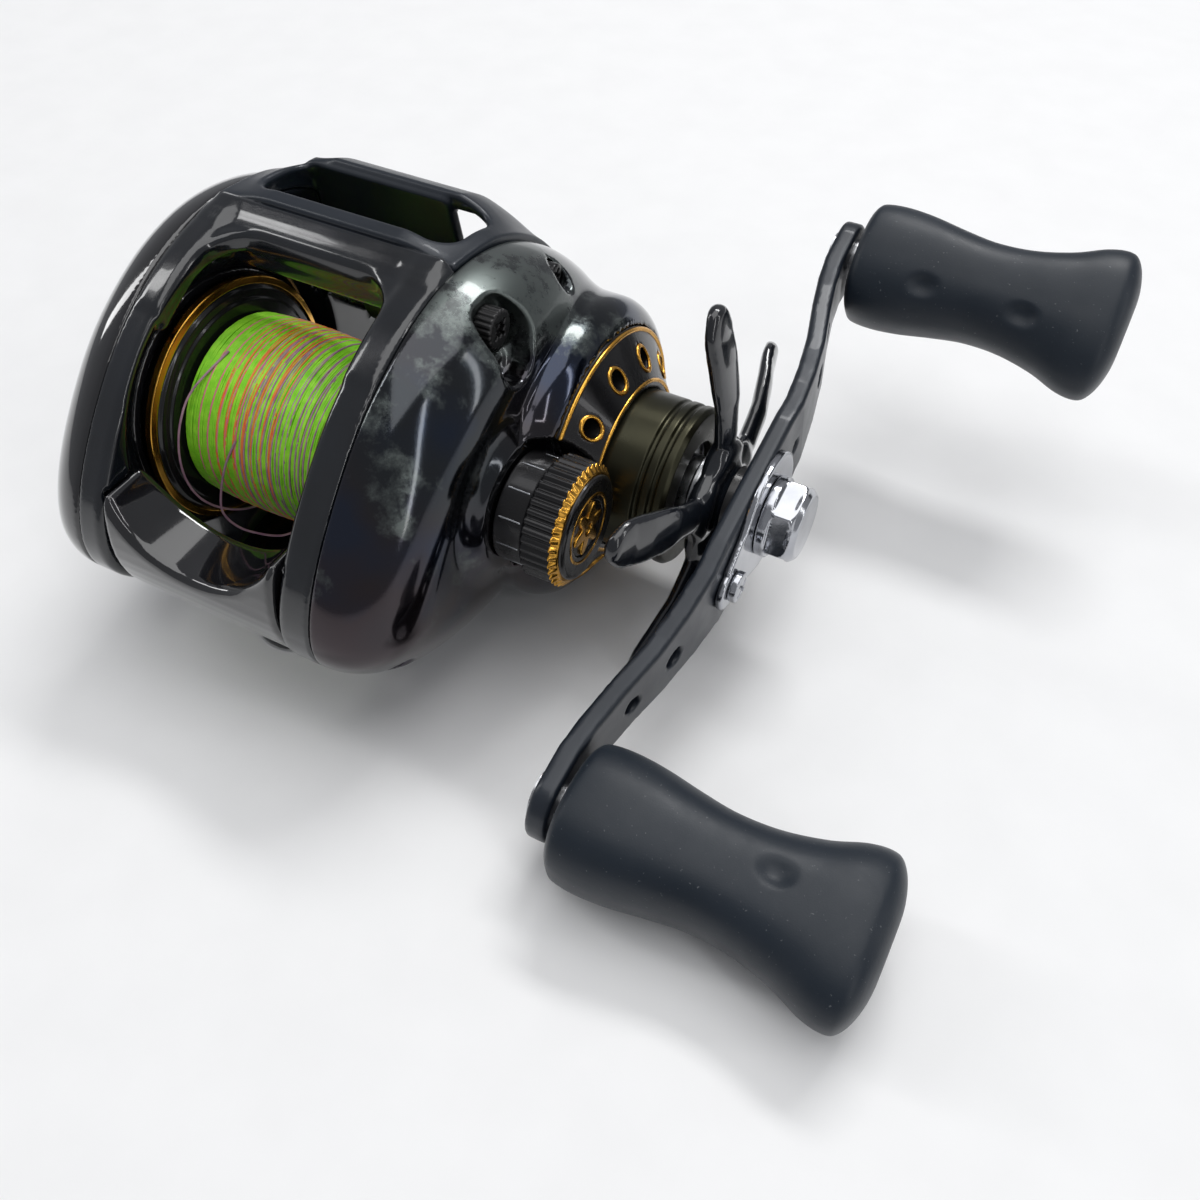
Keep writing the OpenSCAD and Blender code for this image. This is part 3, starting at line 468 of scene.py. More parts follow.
def tube_points(path, radius, sides):
    """Points and quads of a round tube along a path; the ends close to a point."""
    n = len(path)
    way = np.gradient(path, axis=0)
    way /= np.linalg.norm(way, axis=1)[:, None]
    u = np.cross(way, np.array([1.0, 0.03, 0.02]))
    u /= np.linalg.norm(u, axis=1)[:, None]
    v = np.cross(way, u)
    angle = np.arange(sides) * 2 * math.pi / sides
    ring = u[:, None] * np.cos(angle)[None, :, None] + v[:, None] * np.sin(angle)[None, :, None]
    reach = np.full(n, radius)
    reach[[0, -1]] = 0.004
    points = (path[:, None] + reach[:, None, None] * ring).reshape(-1, 3)
    i, j = np.meshgrid(np.arange(n - 1), np.arange(sides), indexing="ij")
    ni, nj = i + 1, (j + 1) % sides
    quads = np.stack([i * sides + j, i * sides + nj, ni * sides + nj, ni * sides + j], -1).reshape(-1, 4)
    return points, quads


def tubes(name, paths, radius, sides):
    """One mesh of several tubes, in millimetres about the spool."""
    points, quads, base = [], [], 0
    for path in paths:
        p, q = tube_points(path, radius, sides)
        points.append(p)
        quads.append(q + base)
        base += len(p)
    return fast_mesh(name, np.concatenate(points), np.concatenate(quads), ON_SPOOL)


# -------- slack loops of line
LINE_D = 0.3
# the routes, the same as in the CAD
LEFT_LOOP = [
    (-8.5, -4, 12.2), (-10.6, -9.4, 9.2), (-11.3, -12.2, 5.9), (-11.6, -13.8, 1.8),
    (-11.6, -14.2, -2.4), (-11.2, -13.4, -6.2), (-10.4, -11.5, -9.2), (-9.2, -8.9, -11.2),
    (-8, -5.6, -12.2), (-7.2, -2.4, -12.7),
]
RIGHT_LOOP = [
    (-3.2, -11.6, 5.5), (-4.6, -13, 2.2), (-5.6, -14.2, -1.8), (-5.9, -14.8, -5.2),
    (-5.2, -13.8, -8.4), (-3.6, -12, -10.6), (-1.6, -10.2, -11.6), (0.2, -8.2, -11.2),
    (1.2, -6.2, -11.2), (1.8, -3.2, -12.4), (2.2, 0.4, -12.9),
]


def curve_through(points, steps=6, closed=False):
    """A smooth curve through points, as an array."""
    p = np.array(points, float)
    n = len(p)
    out = []
    for i in range(n if closed else n - 1):
        if closed:
            a, b, c, d = p[i - 1], p[i], p[(i + 1) % n], p[(i + 2) % n]
        else:
            a, b, c, d = p[max(i - 1, 0)], p[i], p[i + 1], p[min(i + 2, n - 1)]
        for t in np.arange(steps) / steps:
            out.append(0.5 * (2 * b + (c - a) * t + (2 * a - 5 * b + 4 * c - d) * t ** 2
                              + (3 * b - a - 3 * c + d) * t ** 3))
    if not closed:
        out.append(p[-1])
    return np.array(out)


def slack_loop(name, route, node):
    """A loop of line that has sprung off the winding; both its ends lie on the spool."""
    path = curve_through(route, 8)
    data = bpy.data.curves.new(name, "CURVE")
    data.dimensions = "3D"
    data.bevel_depth = LINE_D / 2 * MM
    data.bevel_resolution = 3
    spline = data.splines.new("POLY")
    spline.points.add(len(path) - 1)
    for point, spot in zip(spline.points, path):
        point.co = (*(ON_SPOOL @ Vector(spot)), 1)
    data.materials.append(LINE_MAUVE)
    piece = bpy.data.objects.new(name, data)
    scene.collection.objects.link(piece)
    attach(piece, "spool")
    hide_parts(node)


slack_loop("slack_line_left", LEFT_LOOP, "line_loop_left")
slack_loop("slack_line_right", RIGHT_LOOP, "line_loop_right")


# -------- distance fields, in millimetres
def both(a, b, r=0.4):
    """Where two regions overlap, with the edge rounded."""
    return np.minimum(-r, np.maximum(a, b)) + np.hypot(np.maximum(a + r, 0), np.maximum(b + r, 0))


def either(a, b, r=0.4):
    """Two regions joined, with a fillet."""
    return np.maximum(r, np.minimum(a, b)) - np.hypot(np.maximum(r - a, 0), np.maximum(r - b, 0))


def without(a, b, r=0.4):
    """The first region with the second cut out of it."""
    return both(a, -b, r)


def span(x, low, high):
    """Between two parallel planes."""
    return np.maximum(low - x, x - high)


def disc(y, z, cy, cz, r):
    """Inside a round bar along X."""
    return np.hypot(y - cy, z - cz) - r


def fold(angle, count):
    """An angle counted from the nearest of count equal steps round a turn."""
    sector = 2 * math.pi / count
    return angle - sector * np.round(angle / sector)


def outline(points):
    """Signed distance to a closed outline in a plane, negative inside."""
    p = np.array(points, float)
    q = np.roll(p, -1, 0)

    def distance(u, v):
        u, v = np.broadcast_arrays(u, v)
        best = np.full(u.shape, 1e9)
        inside = np.zeros(u.shape, bool)
        for (ax, ay), (bx, by) in zip(p, q):
            ex, ey = bx - ax, by - ay
            wx, wy = u - ax, v - ay
            t = np.clip((wx * ex + wy * ey) / max(ex * ex + ey * ey, 1e-9), 0, 1)
            best = np.minimum(best, (wx - ex * t) ** 2 + (wy - ey * t) ** 2)
            if ay != by:
                inside ^= ((ay > v) != (by > v)) & (u < ex * (v - ay) / ey + ax)
        return np.where(inside, -1, 1) * np.sqrt(best)

    return distance


def smooth_outline(points, step=0.5):
    """The same distance read from a grid with cubic weights, so that highlights run smoothly."""
    low, high = np.array([-36.0, -34.0]), np.array([54.0, 36.0])
    u = np.arange(low[0], high[0] + step, step)
    v = np.arange(low[1], high[1] + step, step)
    table = outline(points)(u[:, None], v[None])

    def cubic(t):
        return ((1 - t) ** 3 / 6, (3 * t ** 3 - 6 * t * t + 4) / 6,
                (-3 * t ** 3 + 3 * t * t + 3 * t + 1) / 6, t ** 3 / 6)

    def distance(a, b):
        a, b = np.broadcast_arrays(a, b)
        s = np.clip((a - low[0]) / step, 1, len(u) - 3.001)
        t = np.clip((b - low[1]) / step, 1, len(v) - 3.001)
        i, j = s.astype(int), t.astype(int)
        along, across = cubic(s - i), cubic(t - j)
        total = np.zeros(a.shape)
        for m in range(4):
            for n in range(4):
                total = total + along[m] * across[n] * table[i + m - 1, j + n - 1]
        return total

    return distance


def egg(x, y, z, c, radii):
    """Inside an ellipsoid."""
    k = np.sqrt(((x - c[0]) / radii[0]) ** 2 + ((y - c[1]) / radii[1]) ** 2 + ((z - c[2]) / radii[2]) ** 2)
    return (k - 1) * min(radii)


# outlines across the spool's axis, as (forwards, up) from it
BODY = smooth_outline(curve_through([
    (-28, -5), (-26, -10.8), (-19, -16.6), (-8, -20.6), (5, -22.2), (18, -22.4), (29, -20.2),
    (36, -12), (37.8, -1), (35, 9), (28, 17.2), (18.5, 22.6), (8.5, 24.4), (-1.5, 22.6),
    (-11.5, 17.4), (-19.5, 10.2), (-25.6, 2.2),
], 12, closed=True))
ARCH = outline([
    (2.2, 21.6), (6.4, 25), (8.5, 26), (9.6, 25.8), (9.6, 19), (8.2, 18.3), (4.8, 18.3), (3.2, 19.4),
])
BRIDGE = outline([(-13, -19.9), (14, -19.9), (17, -18.6), (17, -21.9), (-11, -21.9)])
PEDESTAL = outline([(-11, -21), (17, -21), (24, -23.6), (-6, -23.6)])
FRONT_BAR = outline([(28.5, -4), (35.6, -4.4), (36.4, -1), (35.2, 1.6), (31, 2.2), (28.5, 0)])
# the hood's top line in the middle, the same at its sides, and the line of its underside
HOOD_TOP = curve_through([
    (8.5, 26.2), (14.5, 26.6), (20, 25.8), (25.4, 23.6), (30, 20), (34, 15), (37, 8.6),
], 9)
HOOD_EDGE = curve_through([(8.5, 25), (18.5, 23.4), (28, 18), (35, 9.8), (36.4, 6.6)], 9)
HOOD_UNDER = curve_through([
    (33.9, 7.9), (30, 13.8), (25.4, 17.8), (20, 20.9), (14, 22.9), (8.5, 23.8),
], 4)
# room that the frame leaves for the hood, and the hood's own open underside
HOOD_ROOM = outline([(8.5, 40), (50, 40), (50, 7.9), *map(tuple, HOOD_UNDER)])
HOOD_HOLLOW = outline([(60, -20), (60, 7.9), *map(tuple, HOOD_UNDER), (0, 23.8), (0, -20)])
HOOD_MIDDLE = smooth_outline([*map(tuple, HOOD_TOP), (28, 6), (8.5, 6)])
HOOD_SIDE = smooth_outline([*map(tuple, HOOD_EDGE), (28, 6), (8.5, 6)])


FOOT_HALF_LENGTH, FOOT_HALF_WIDTH = 29.5, 6.5


def foot_field(x, y, z):
    """The flat foot, which thins out towards its round ends."""
    run = np.abs(y + SPOOL.y) - FOOT_HALF_LENGTH
    thick = 2.2 + np.clip(run + 14, 0, 14) / 14 * -1.3
    rounded = np.hypot(np.maximum(run + FOOT_HALF_WIDTH, 0), x) - FOOT_HALF_WIDTH
    plan = np.maximum(both(np.abs(x) - FOOT_HALF_WIDTH, rounded, 0.5), run)
    up = z + SPOOL.z
    return both(plan, span(up, 0, thick), 0.35)


def frame_field(x, y, z):
    """Two side rings joined by the arch, rear band, bridge and front bar, on the pedestal and foot."""
    body = BODY(y, z)
    r = np.hypot(y, z)
    palm = both(both(body, PALM_SEAM - x, 0.3), x - (PALM_SEAM + RING_W - 0.1), 1.1)
    gear = both(both(body, x - GEAR_SEAM, 0.3), GEAR_SEAM - GEAR_RING_W - x, 1.1)
    palm = without(palm, r - BORE_R, 0.3)
    # conical lip towards the spool's rim
    palm = without(palm, r - BORE_R - 1.5 * (x - (PALM_SEAM + RING_W - 2.4)), 0.4)
    gear = without(gear, np.maximum(r - BORE_R, x - 14.9), 0.3)
    inner = span(x, PALM_SEAM + 1, GEAR_SEAM - 1)
    d = either(palm, gear, 0.1)
    # front arch over the spool
    d = either(d, both(both(ARCH(y, z) + 0.2, 4.6 - y, 0.8), inner, 0.8), 2.0)
    # wide rear band with large-radius corners
    window = np.hypot(np.maximum(np.abs(x - 0.2) - 6.8, 0), np.maximum(y + 1.9, 0)) - 6.5
    band = both(np.abs(body + 1.5) - 1.3, -window, 0.7)
    band = both(band, np.maximum(span(y, -9, 8.3), 10 - z), 1.2)
    d = either(d, np.maximum(band, inner), 0.8)
    d = either(d, both(BRIDGE(y, z), inner, 0.5), 1.5)
    d = either(d, both(FRONT_BAR(y, z) + 0.1, inner, 0.8), 0.9)
    d = either(d, both(PEDESTAL(y, z), np.abs(x) - 5.5, 0.8), 0.8)
    d = without(d, HOOD_ROOM(y, z), 0.25)
    # guides of the thumb bar
    slot = np.maximum(span(y, -24.6, -19.8), span(z, -11.2, 3.0))
    d = without(d, np.maximum(slot, span(x, -15.2, -12)), 0.1)
    d = without(d, np.maximum(slot, span(x, 12, 15.3)), 0.1)
    # bores of the worm tube, pinion bearing, handle shaft and release screw
    d = without(d, disc(y, z, WORM_Y, WORM_Z, 3.62), 0.1)
    d = without(d, np.maximum(disc(y, z, 0, 0, 5.52), 10 - x), 0.1)
    d = without(d, disc(y, z, DRIVE_Y, DRIVE_Z, 3.0), 0.1)
    d = without(d, disc(y, z, SCREW_Y, SCREW_Z, 1.3), 0.05)
    return either(d, foot_field(x, y, z), 0.6)


def hood_field(x, y, z):
    """A shell that is higher in the middle than at its sides, with a window and a mouth for the line."""
    w = np.clip((np.abs(x - 0.5) - 9.5) / 8, 0, 1)
    w = w * w * (3 - 2 * w) * 0.5 + w * 0.5
    solid = HOOD_MIDDLE(y, z) * (1 - w) + HOOD_SIDE(y, z) * w
    solid = both(solid, span(x, PALM_SEAM, GEAR_SEAM), 0.35)
    hollow = np.maximum(both(HOOD_MIDDLE(y, z) + 2.2, span(x, -13, 14.6), 1.6), solid + 1.6)
    d = without(solid, HOOD_HOLLOW(y, z), 0.35)
    d = without(d, hollow, 0.3)
    window = both(span(x, -13, 15.4), span(y, 11.2, 22.0), 3.2)
    mouth = both(np.abs(x) - 13, 28.6 - y, 4.0)
    d = without(without(d, window, 0.9), mouth, 0.9)
    # lip that hangs inside the front arch
    lip = np.abs(y - 22.4 + 0.2 * (z - 23)) - 0.9
    lip = both(lip, both(span(z, 14.6, 24.2), span(x, -13.2, 8.8), 1.0), 0.5)
    return either(d, lip, 0.6)


def dome(body, x, face, r, inset=0.0):
    """The body's outline, rounded off towards a flat face."""
    return both(body + inset, x - face, r)


GEAR_WALL = 1.3
BULGE_R, NECK_R, CAP_SEAT_R = 21.2, 10.4, 8.75
BOSS_SEAT_R, BOSS_SEAT_X = 18.25, 31.5
RECESS_R, RECESS_X = 3.7, 22.6
SCREW_POCKET_R = 1.65


def gear_cover_field(x, y, z):
    """A domed shell over the gears, with a bulge round the handle shaft and a neck round the cast cap."""
    body = BODY(y, z)
    r = np.hypot(y, z)
    drive = disc(y, z, DRIVE_Y, DRIVE_Z, 0)
    d = dome(body, x, GEAR_FACE, 10.2)
    # drive bulge, meeting the dome in a soft valley
    bulge = both(drive - BULGE_R, x - BULGE_FACE, 4.2)
    d = either(d, bulge, 0.9)
    # raised neck round the cast cap
    neck = both(r - NECK_R + 0.5 * np.maximum(x - 26, 0), x - NECK_FACE, 0.6)
    d = either(d, neck, 3.2)
    d = without(d, both(r - CAP_SEAT_R, NECK_FACE - x, 0.2), 0.3)
    # flat underside and flat inner face
    d = both(d, -24.0 - z, 1.6)
    d = both(d, GEAR_SEAM - x, 0.55)
    # seat of the boss plate
    seat = both(drive - BOSS_SEAT_R, BOSS_SEAT_X - x, 0.2)
    d = without(d, without(seat, r - 8.8, 0.2), 0.15)
    # recess and finger scoop of the release screw
    recess = both(disc(y, z, SCREW_Y, SCREW_Z, RECESS_R), RECESS_X - x, 0.8)
    scoop = both(disc(y, z, SCREW_Y - 0.9, SCREW_Z - 2.9, 2.9), 24.6 - x, 1.2)
    d = without(d, either(recess, scoop, 0.8), 0.4)
    for cy, cz in COVER_SCREWS:
        d = without(d, np.maximum(disc(y, z, cy, cz, SCREW_POCKET_R), SCREW_SEAT_X - x), 0.25)
    # hollow for the gears, a wall's thickness inside the cover everywhere
    hollow = np.maximum(dome(body, x, 25.4, 9.5, 2.4), d + GEAR_WALL)
    hollow = np.maximum(either(hollow, both(drive - 18.6, x - 29.8, 0.5), 0.3), d + GEAR_WALL)
    hollow = np.maximum(hollow, -22.4 - z)
    # solid round the release screw, the neck and the cover screws
    hollow = np.maximum(hollow, 9.6 - disc(y, z, SCREW_Y + 2.0, SCREW_Z - 2.0, 0) - 100 * (x < 20.4))
    hollow = np.maximum(hollow, 11.4 - r - 100 * (x < 26.2))
    for cy, cz in COVER_SCREWS:
        hollow = np.maximum(hollow, 3.0 - disc(y, z, cy, cz, 0))
    d = np.maximum(d, -hollow)
    # way through for the spool's shaft
    return np.maximum(d, -np.maximum(r - 4.2, x - 31))


PALM_WALL = 1.2


def palm_cover_field(x, y, z):
    """A domed shell with rings inside for the frame's bore and the brake, and a post for the screw."""
    body = BODY(y, z)
    r = np.hypot(y, z)
    shell = both(dome(body, -x, -PALM_FACE, 7.4), x - PALM_SEAM, 0.5)
    d = np.maximum(shell, -np.maximum(dome(body, -x, 23.1, 6.4, 1.8), shell + PALM_WALL))
    d = either(d, np.maximum(np.abs(r - 16.5) - 0.6, span(x, -23.6, -15.4)), 0.3)
    d = either(d, np.maximum(np.abs(r - 6.2) - 0.68, span(x, -23.6, -18.2)), 0.2)
    post = np.maximum(disc(y, z, SCREW_Y, SCREW_Z, 2.4), span(x, -23.4, PALM_SEAM))
    d = either(d, np.maximum(post, shell + 0.6), 0.2)
    # shallow round panel under the dial
    d = without(d, both(r - 12.6, x + 24.5, 0.3), 0.4)
    d = np.maximum(d, -(r - 2.6))
    hole = np.maximum(disc(y, z, SCREW_Y, SCREW_Z, 1.3), -20.5 - x)
    return np.maximum(d, -np.maximum(hole, shell + PALM_WALL))


THUMB = outline(curve_through([
    (-18.9, 3.4), (-19, -8), (-21.2, -13), (-25.4, -11.4), (-27.6, -4.5), (-25.6, 4.2), (-21.6, 5.8),
], 5, closed=True))


def thumb_field(x, y, z):
    """A bar dished for the thumb, with a tab at each end and a pin towards the clutch."""
    d = both(THUMB(y, z), span(x, -12.6, 13), 0.9)
    scoop = np.hypot(x - 0.2, z - 10.6) - 14
    d = without(d, scoop, 1.1)
    tab = np.maximum(span(y, -24.3, -20.1), span(z, -7.4, 2.7))
    d = np.minimum(d, both(tab, span(x, -14.9, -12), 0.3))
    d = np.minimum(d, both(tab, span(x, 12, 15.1), 0.3))
    return np.minimum(d, np.maximum(disc(y, z, -22.5, -2, 1), span(x, 14, 19.3)))


shape("reel_body", frame_field, (-17.6, -29, -26.2), (18.6, 42, 27.4), 0.4, ON_SPOOL,
      "reel_frame", "frame_black", ["frame"])
shape("front_hood", hood_field, (-17.8, 7.6, 4.6), (18.8, 39.2, 28.0), 0.32, ON_SPOOL,
      "reel_frame", "hood_satin", ["hood"])
shape("gear_cover_shell", gear_cover_field, (17.2, -29, -25.2), (34.4, 41.2, 26.2), 0.34, ON_SPOOL,
      "reel_frame", "cover_chrome", ["gear_side_cover"])
shape("palm_cover_shell", palm_cover_field, (-25.8, -29, -23.4), (-14.8, 39.2, 26.2), 0.38, ON_SPOOL,
      "palm_cover", "palm_gloss", ["palm_side_cover"])
shape("thumb_saddle", thumb_field, (-15.6, -29, -15.2), (20, -18, 8.0), 0.35, ON_SPOOL,
      "thumb_bar", "palm_gloss", ["thumb_bar"])


# -------- handle, star and knobs
ARM_SIDE = [(14, ARM_X), (20, 54.9), (26, 53.8), (32, 52.2), (37, 51.1), (41, ARM_END_X), (60, ARM_END_X)]
ARM_PLAN = [(0, 7), (10, 7), (17, 5.9), (24, 5), (36, 4.4), (46, 5)]


def arm_field(x, s, w):
    """A cranked, pierced plate; s runs along it from the handle shaft, w across it."""
    reach = np.abs(s)
    face = np.interp(reach, [0, *[p[0] for p in ARM_SIDE]], [ARM_X, *[p[1] for p in ARM_SIDE]])
    wide = np.interp(reach, [p[0] for p in ARM_PLAN], [p[1] for p in ARM_PLAN])
    plan = np.maximum(np.abs(w) - wide, reach - HANDLE_HALF)
    plan = np.minimum(plan, np.hypot(reach - HANDLE_HALF, w) - 5)
    d = both(plan, span(x, face - ARM_T, face) * 0.93, 0.55)
    for spot, r in ((0, 2.02), (11.5, 1.02), (23.7, 1.5), (31.5, 1.3), (HANDLE_HALF, 2.02)):
        d = without(d, np.hypot(reach - spot, w) - r, 0.22)
    return d


shape("handle_plate", arm_field, (47.2, -52, -7.8), (56.4, 52, 7.8), 0.4, ON_HANDLE,
      "crank", "hood_satin", ["handle_arm"])


STAR_ARMS, STAR_TURN, HUB_X = 5, 12.3, 48.1


def star_field(x, y, z):
    """Paddles bent towards the body, on a dished hub."""
    r = np.hypot(y, z)
    hub = both(r - 7.9, span(x, HUB_X, 50.4), 0.9)
    hub = either(hub, both(r - 4.6, span(x, HUB_X, 51.4), 0.4), 1.0)
    angle = fold(np.arctan2(z, y) - math.radians(STAR_TURN), STAR_ARMS)
    along, across = r * np.cos(angle), r * np.sin(angle)
    bend = np.interp(along, [5, 10, 15, 20, 23, 26.6], [49.3, 49.2, 48.7, 47.5, 46.6, 45.9])
    wide = np.interp(along, [5, 9, 13, 17, 21, 24, 26], [3.2, 2.3, 2.5, 3.4, 3.8, 3.4, 2.4])
    thick = np.interp(along, [5, 10, 20, 26], [1.25, 1.25, 1.15, 1.0])
    paddle = (np.sqrt((across / wide) ** 2 + ((x - bend) / thick) ** 2 + 1e-9) - 1) * 1.1
    paddle = both(paddle, np.hypot(np.maximum(along - 23.4, 0), across) - 3.5, 0.8)
    paddle = np.maximum(paddle, 3 - along)
    d = either(hub, paddle * 0.85, 1.6)
    d = np.maximum(d, -(r - 2.06))
    return np.maximum(d, -np.maximum(r - 6.5, x - HUB_X))


shape("star_wheel", star_field, (44.6, -27.6, -27.6), (51.9, 27.6, 27.6), 0.36, ON_DRIVE,
      "star_drag", "star_gloss", ["star_drag"])

# half width and half thickness of a knob, by distance from its inner end
KNOB_AT = [0, 1.4, 4.5, 8.5, 13.5, 18, 23, 28, 32, 34.8, 36.8, 38]
KNOB_WIDE = [7.4, 8.3, 8.6, 8.3, 7.5, 7.0, 7.3, 8.5, 10.1, 10.5, 9.7, 8.6]
KNOB_THICK = [6.9, 7.3, 7.4, 7.2, 6.6, 6.1, 5.9, 6.0, 6.2, 6.1, 5.7, 5.2]


def smooth_table(keys, values):
    """The same values read off a smooth curve."""
    fine = np.linspace(keys[0], keys[-1], 200)
    p = curve_through(list(zip(keys, values)), 10)
    return fine, np.interp(fine, p[:, 0], p[:, 1])


WIDE_TABLE = smooth_table(KNOB_AT, KNOB_WIDE)
THICK_TABLE = smooth_table(KNOB_AT, KNOB_THICK)
KNOB_POWER = 2.5  # how square the section is: 2 would be an ellipse
KNOB_BORE_R, KNOB_BORE_DEPTH = 3.55, 34
DIMPLE = (1.9, 1.5, 0.95)  # half sizes


def knob_field(x, y, z, dimples):
    """A waisted paddle with a flared end and shallow dimples on its broad faces."""
    wide = np.interp(x, *WIDE_TABLE)
    thick = np.interp(x, *THICK_TABLE)
    section = (np.abs(y) / wide) ** KNOB_POWER + (np.abs(z) / thick) ** KNOB_POWER
    d = ((section + 1e-9) ** (1 / KNOB_POWER) - 1) * thick * 0.9
    d = both(d, x - KNOB_LEN, 2.6)
    d = both(d, -x, 1.3)
    for spot, across in dimples:
        share = abs(across) / np.interp(spot, *WIDE_TABLE)
        level = np.interp(spot, *THICK_TABLE) * (1 - share ** KNOB_POWER) ** (1 / KNOB_POWER)
        for side in (-1, 1):
            d = without(d, egg(x, y, z, (spot, across, side * (level + 0.35)), DIMPLE), 0.5)
    # bore for the post and bearings
    return np.maximum(d, -np.maximum(np.hypot(y, z) - KNOB_BORE_R, x - KNOB_BORE_DEPTH))


def knob(name, sign, turn, body, dimples):
    """A knob on the end of the handle that the sign picks; dimples are (along, across)."""
    spot = place(DRIVE_Y + sign * knob_arm.y, DRIVE_Z + sign * knob_arm.z, turn, KNOB_X)
    shape(name, lambda x, y, z: knob_field(x, y, z, dimples), (-0.8, -11.4, -8.4),
          (KNOB_LEN + 0.8, 11.4, 8.4), 0.42, spot, body, "knob_soft", [body])


knob("front_paddle", 1, HANDLE_ANGLE + 24, "front_knob", [(11.0, -3.6), (24.5, -3.6)])
knob("rear_paddle", -1, HANDLE_ANGLE - 5.6, "rear_knob", [(24.5, 1.0)])

# -------- spool and line
lathe("spool_cup", [
    (1.5, -13.2), (13.6, -13.2), (15.2, -13.95), (16.65, -13.95), (16.65, -13.3), (15.8, -13.1),
    (15.5, -12.95), (15.2, -12.6), (14.2, -12.5), (13.9, -12.2), (9.5, -12.0), (9.5, 11.0),
    (15.4, 11.4), (16.65, 12.2), (16.65, 12.95), (15.2, 12.95), (13.6, 12.2), (1.5, 12.2),
], ON_SPOOL, "spool", "spool_anodised", ["spool"], steps=160)
for name, x in (("spool_rim_left", -14.0), ("spool_rim_right", 12.0)):
    lathe(name, [(15.75, x), (16.7, x), (16.7, x + 0.95), (15.75, x + 1.2)], ON_SPOOL,
          "spool", "spool_anodised", look=GOLD, steps=160)

WOUND_LEFT, WOUND_RIGHT = -11.6, 10.4
STRAND_R = 0.14
STRAND_PITCH = 1.3


def wound_r(x):
    """Radius of the winding, fullest a little left of the middle."""
    return 12.62 - 0.0065 * (x + 4) ** 2


lathe("wound_base", [(9.6, WOUND_LEFT - 0.1), (11.7, WOUND_LEFT - 0.05)]
      + [(wound_r(x) - 0.16, x) for x in np.arange(-11.2, 10.3, 1.3)]
      + [(9.6, WOUND_RIGHT + 0.15)], ON_SPOOL, "spool", "braid", ["wound_line"], steps=96)


def strands(name, look, passes, seed, low=WOUND_LEFT, high=WOUND_RIGHT, lift=0.0):
    """Turns of line that cross each other as the level wind lays them to and fro."""
    rng = np.random.default_rng(seed)
    path = []
    for k in range(passes):
        turns = max(2, int((high - low) / STRAND_PITCH))
        t = np.linspace(0, 1, turns * 44)
        x = low + (high - low) * (t if k % 2 else 1 - t)
        angle = 2 * math.pi * (turns * t + rng.random())
        wobble = 0.10 * np.sin(angle * 0.37 + rng.random() * 6) + rng.normal() * 0.15
        x = np.clip(x + wobble, WOUND_LEFT + 0.1, WOUND_RIGHT - 0.1)
        r = wound_r(x) + lift - 0.03 * rng.random() + 0.025 * np.sin(angle * 2.3 + k)
        path.append(np.stack([x, r * np.cos(angle), r * np.sin(angle)], 1))
    add_piece(name, tubes(name, path, STRAND_R, 5), "spool", "braid", look=look)


strands("strands_green", LOOKS["braid"], 11, 3)
strands("strands_orange", LINE_ORANGE, 2, 5, -6.8, 2.6, 0.05)
strands("strands_pink", LINE_PINK, 1, 7, -9.5, -2.2, 0.06)
strands("strands_mauve", LINE_MAUVE, 2, 11, -3.2, 7.4, 0.05)

# -------- springs of the clutch yoke
POST_Y, POST_Z = -4.0, 11.5
SPRING_LOW, SPRING_HIGH, YOKE_TRAVEL = 20.35, 25.4, 1.7
SPRING_TURNS, SPRING_R, WIRE_R = 4, 1.55, 0.2


def coil(side):
    """The middle of a spring's wire, on the upper or lower post."""
    turn = np.linspace(0, SPRING_TURNS * 2 * math.pi, SPRING_TURNS * 30 + 1)
    x = np.interp(turn, (0, turn[-1]), (SPRING_LOW + WIRE_R, SPRING_HIGH - WIRE_R))
    return np.stack([x, POST_Y + SPRING_R * np.cos(turn), side * POST_Z + SPRING_R * np.sin(turn)], 1)


springs = add_piece("yoke_springs_wire", tubes("yoke_springs_wire", [coil(-1), coil(1)], WIRE_R, 10),
                    "reel_frame", "steel", ["yoke_springs"])
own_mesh(springs)

# -------- drive boss, tube and cast cap
# the cast cap as seen from the handle shaft, then the plate and its holes
CAP_Y, CAP_Z = -DRIVE_Y, -DRIVE_Z
CAP_CLEAR_R = 8.85
BOSS_R, BOSS_BORE_R, BOSS_BACK_X = 18.15, 10.94, 31.6
BOSS_HOLES, BOSS_TURN, BOSS_HOLE_RING = 12, 4, 14.6


def boss_face(x, r):
    """Distance from the plate's sloping face, which falls away towards its rim."""
    return (x - np.interp(r, [10.9, 12.1, 17.6, 18.2], [36.6, 36.6, 32.9, 32.5])) * 0.83


def from_hole(y, z):
    """Distance from the middle of the nearest hole in the plate."""
    r = np.hypot(y, z)
    angle = fold(np.arctan2(z, y) - math.radians(BOSS_TURN), BOSS_HOLES)
    return np.hypot(r * np.cos(angle) - BOSS_HOLE_RING, r * np.sin(angle))


def boss_field(x, y, z):
    """A sloping ring plate round the olive tube, cut away round the cast cap."""
    r = np.hypot(y, z)
    plate = both(r - BOSS_R, BOSS_BORE_R - r, 0.1)
    d = both(plate, np.maximum(BOSS_BACK_X - x, boss_face(x, r)), 0.2)
    d = without(d, from_hole(y, z) - 1.45, 0.05)
    return without(d, disc(y, z, CAP_Y, CAP_Z, CAP_CLEAR_R), 0.15)


def boss_rings_field(x, y, z):
    """Cut edges of the plate, and the countersink of each hole, left bright gold."""
    r = np.hypot(y, z)
    outer = np.hypot(r - 17.75, x - 32.78) - 0.34
    inner = np.hypot(r - 12.0, x - 36.5) - 0.30
    rims = np.hypot(from_hole(y, z) - 1.42, boss_face(x, r) + 0.02) - 0.24
    d = np.minimum(np.minimum(outer, inner), rims)
    return without(d, disc(y, z, CAP_Y, CAP_Z, CAP_CLEAR_R), 0.05)


